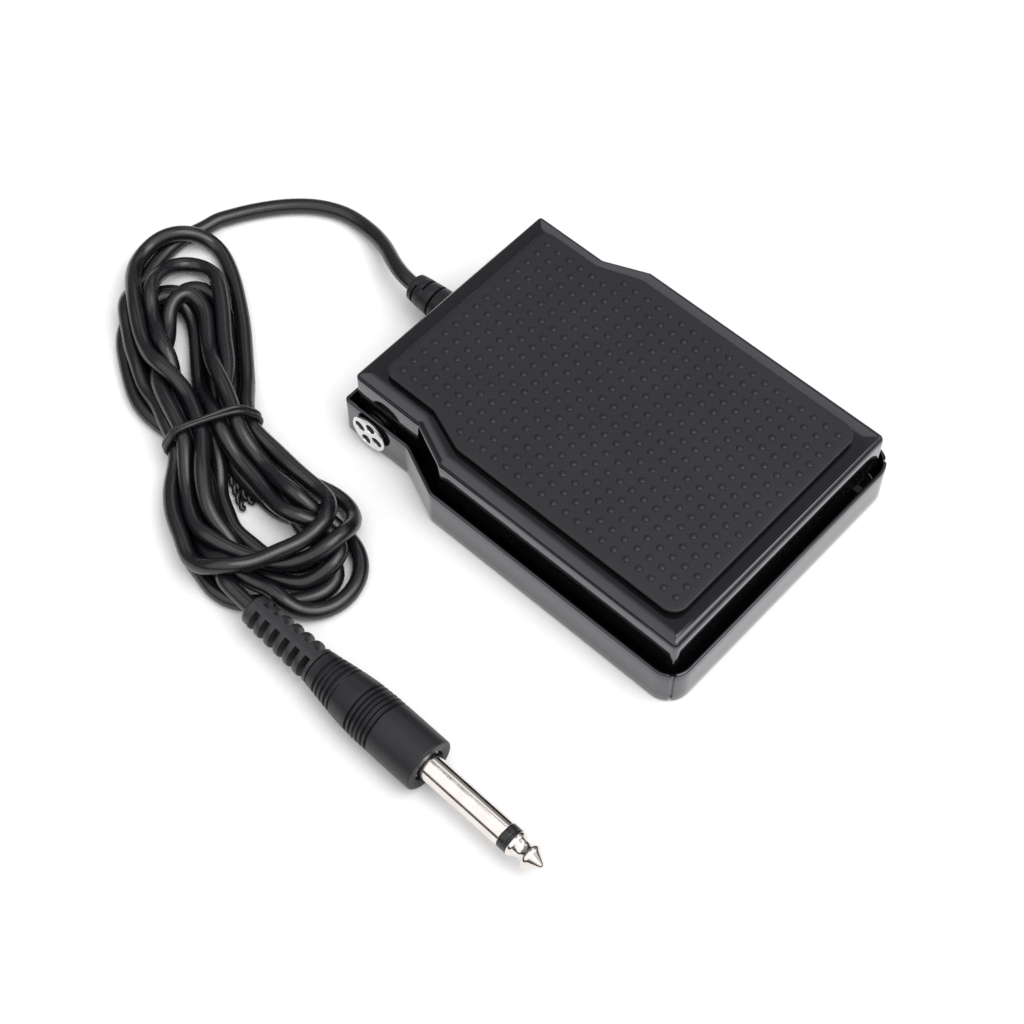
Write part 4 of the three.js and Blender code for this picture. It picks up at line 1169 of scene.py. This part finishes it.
def make_plug():
    relief = make_relief()
    shell = make_shell()
    start = SHELL_FRONT + 1.25
    shoulder = SHELL_FRONT + 0.8
    sleeve = plug_piece("plug_sleeve_tube", rounded([
        (start, 0.0), (start, 3.8), (shoulder, 3.8), (shoulder, SLEEVE_RADIUS), (SLEEVE_END, SLEEVE_RADIUS),
        (SLEEVE_END, 0.0)], 0.18), NICKEL, "plug_sleeve")
    ring = plug_piece("plug_insulator_ring", rounded([
        (SLEEVE_END - 0.05, 0.0), (SLEEVE_END - 0.05, 3.12), (SLEEVE_END - 1.6, 3.12),
        (SLEEVE_END - 1.7, 3.0), (SLEEVE_END - 1.9, 3.0), (SLEEVE_END - 2.0, 3.12),
        (INSULATOR_END + 0.05, 3.12), (INSULATOR_END + 0.05, 0.0)], 0.1),
        PLUG_RING, "plug_insulator")
    end = INSULATOR_END
    tip = plug_piece("plug_tip_cone", rounded([
        (end - 0.05, 0.0), (end - 0.05, SLEEVE_RADIUS), (end - 1.0, SLEEVE_RADIUS), (end - 1.5, 2.75),
        (end - 2.3, 2.25), (end - 3.1, 2.2), (end - 3.8, 2.55), (end - 4.4, 2.95), (end - 4.9, 3.05),
        (end - 5.4, 2.9), (TIP_END + 0.45, 0.85), (TIP_END + 0.1, 0.45), (TIP_END, 0.0)], 0.3),
        NICKEL, "plug_tip")
    return [relief, shell, sleeve, ring, tip]


# ---- tie -----------------------------------------------------------------------------------------
TIE_WIRE = 0.66
TIE_PLACE = 1.6             # how far up the hank from its pinched middle the tie sits


def strand_crossings(line, along_at):
    """Where the cord passes the tie's plane: (across, height) of each strand."""
    offset = line[:, :2] - TIE
    along = offset @ ALONG - along_at
    across = offset @ ACROSS
    found = []
    for i in range(len(line) - 1):
        if along[i] * along[i + 1] <= 0 and abs(across[i]) < 16:
            share = along[i] / (along[i] - along[i + 1] + 1e-9)
            found.append((across[i] + (across[i + 1] - across[i]) * share,
                          line[i, 2] + (line[i + 1, 2] - line[i, 2]) * share))
    return np.array(found)


def wrap_round(spots, clearance, count):
    """A loop pulled tight round the strands: the hull of their outlines, evenly spaced."""
    angles = np.linspace(0, 2 * math.pi, 36, endpoint=False)
    rim = np.stack([np.cos(angles), np.sin(angles)], 1) * clearance
    cloud = (spots[:, None, :] + rim[None]).reshape(-1, 2)
    middle = spots.mean(0)
    directions = np.linspace(0, 2 * math.pi, 720, endpoint=False)
    facing = np.stack([np.cos(directions), np.sin(directions)], 1)
    reach = ((cloud - middle) @ facing.T).argmax(0)
    corners = [cloud[reach[0]]]
    for index in reach[1:]:
        if np.linalg.norm(cloud[index] - corners[-1]) > 0.05:
            corners.append(cloud[index])
    loop = np.array(corners + corners[:1])
    along = np.concatenate([[0], np.cumsum(np.linalg.norm(np.diff(loop, axis=0), axis=1))])
    stations = np.linspace(0, along[-1], count, endpoint=False)
    return np.stack([np.interp(stations, along, loop[:, axis]) for axis in range(2)], 1)


def make_tie(line):
    """Two turns of covered wire round the hank, and the tie's two twisted ends."""
    spots = strand_crossings(line, TIE_PLACE)
    loop = wrap_round(spots, CORD_RADIUS + TIE_WIRE + 0.05, 40)
    loop[:, 1] = np.maximum(loop[:, 1], TIE_WIRE + 0.02)
    turns = []
    for across, height in loop:
        lean = 0.35 * math.sin(across * 0.25)
        turns.append(in_hank(TIE_PLACE + lean, across, height))
    band = add_tube("cord_tie_wire", turns, TIE_WIRE, TIE_PVC, closed=True)
    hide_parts("cord_tie")
    second = [in_hank(TIE_PLACE - 1.15 + 0.4 * math.cos(across * 0.2), across, height)
              for across, height in loop]
    again = add_tube("cord_tie_wire_2", second, TIE_WIRE, TIE_PVC, closed=True)
    pieces = [band, again]
    for index, (end_along, end_across) in enumerate(((-18.6, 3.7), (-19.5, 1.2))):
        pieces.append(make_tail(index, end_along, end_across))
    return pieces


def make_tail(index, end_along, end_across):
    """One twisted end of the tie, lying on the floor inside the lower loops."""
    start = np.array(in_hank(-6.0, 0.6 + 0.9 * index, 1.3))
    end = np.array(in_hank(end_along, end_across, 1.15))
    points = []
    for side in (0, 1):
        for i in range(0, 61):
            t = i / 60 if side == 0 else 1 - i / 60
            middle = start + (end - start) * t
            angle = 2 * math.pi * 2.5 * t + math.pi * side
            width = 0.6 * min(1.0, (1 - t) * 8 + 0.25)
            across = np.array([ACROSS[0], ACROSS[1], 0.0]) * math.cos(angle) * width
            points.append(middle + across + np.array([0.0, 0.0, math.sin(angle) * width]))
    return add_tube(f"cord_tie_tail_{index + 1}", points, 0.58, TIE_PVC)


# ---- build ---------------------------------------------------------------------------------------
cord_line = settle_cord()
cord = add_tube("cord", cord_line, CORD_RADIUS, CORD_PVC)
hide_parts("cord_lead", "cord_tail", "cord_hank")
tie_pieces = make_tie(cord_line)
plug_pieces = make_plug()

make_base_pan()
make_feet()
make_spring()
make_cover()
make_ears()
make_pad()
make_pivot_screws()
make_gland()


# ---- floor and light -----------------------------------------------------------------------------
FLOOR_HALF = 8.0             # metres, as are the key light's place and size below


def make_stage():
    mesh = bpy.data.meshes.new("floor")
    corners = [(x * FLOOR_HALF, y * FLOOR_HALF, 0) for x, y in ((-1, -1), (1, -1), (1, 1), (-1, 1))]
    mesh.from_pydata(corners, [], [(0, 1, 2, 3)])
    floor = add_object("floor", mesh)
    floor.data.materials.append(make_floor())


def add_softbox(name, place, look_at, width, height, power):
    """A rectangular soft light that faces a point."""
    data = bpy.data.lights.new(name, "AREA")
    data.shape = "RECTANGLE"
    data.size = width
    data.size_y = height
    data.energy = power
    light = add_object(name, data)
    aim = Vector(look_at) - Vector(place)
    turn = aim.to_track_quat("-Z", "Y").to_matrix().to_4x4()
    light.matrix_world = Matrix.Translation(Vector(place)) @ turn


def band(tree, value, start, end):
    """0 before start, 1 after end, smooth between; it falls where start is greater than end."""
    rises = start < end
    node = add_node(tree, "ShaderNodeMapRange", {"interpolation_type": "SMOOTHSTEP"}, Value=value,
                    From_Min=min(start, end), From_Max=max(start, end),
                    To_Min=0.0 if rises else 1.0, To_Max=1.0 if rises else 0.0)
    return node.outputs["Result"]


def combined(tree, operation, *terms):
    """Values multiplied or added, one after another."""
    total = terms[0]
    for term in terms[1:]:
        node = add_node(tree, "ShaderNodeMath", {"operation": operation})
        connect(tree, total, node.inputs[0])
        connect(tree, term, node.inputs[1])
        total = node.outputs["Value"]
    return total


# The panels of the studio: how bright each is, and the bands of direction that bound it.
PANELS = [
    (0.30, (("Z", 0.10, 0.34),)),                                               # ceiling
    (1.10, (("X", 0.30, 0.12), ("Z", 0.30, 0.44), ("Y", 0.64, 0.50))),          # left
    (0.45, (("Y", -0.20, -0.42), ("Z", 0.22, 0.36), ("X", -0.10, 0.10))),       # front
    (0.90, (("X", 0.50, 0.58), ("X", 0.80, 0.74), ("Z", 0.30, 0.44), ("Y", 0.64, 0.50))),  # right
]


def make_sky():
    """A studio round the table: dim overhead, dark at the horizon, with broad soft panels to the
    left and in front, and a narrow one to the right. It is pale where it is seen directly."""
    world = bpy.data.worlds.new("studio")
    bpy.context.scene.world = world
    world.use_nodes = True
    tree = world.node_tree
    background = tree.nodes["Background"]
    place = add_node(tree, "ShaderNodeTexCoord").outputs["Generated"]
    axes = add_node(tree, "ShaderNodeSeparateXYZ", Vector=place).outputs
    panels = []
    for brightness, bounds in PANELS:
        edges = [band(tree, axes[axis], start, end) for axis, start, end in bounds]
        panels.append(combined(tree, "MULTIPLY", *edges, brightness))
    total = combined(tree, "ADD", *panels)
    shade = add_node(tree, "ShaderNodeCombineColor", Red=total, Green=total, Blue=total).outputs["Color"]
    seen = add_node(tree, "ShaderNodeLightPath").outputs["Is Camera Ray"]
    pale = add_node(tree, "ShaderNodeMix", {"data_type": "RGBA"})
    tree.links.new(seen, pale.inputs["Factor"])
    tree.links.new(shade, pale.inputs[6])
    pale.inputs[7].default_value = (0.86, 0.87, 0.88, 1.0)
    tree.links.new(pale.outputs[2], background.inputs["Color"])
    background.inputs["Strength"].default_value = 1.0


make_stage()
make_sky()
add_softbox("key", (0.16, -0.46, 1.15), (0.0, 0.0, 0.0), 0.95, 0.95, 10.0)

bpy.context.scene.view_settings.view_transform = "Standard"
bpy.context.view_layer.update()
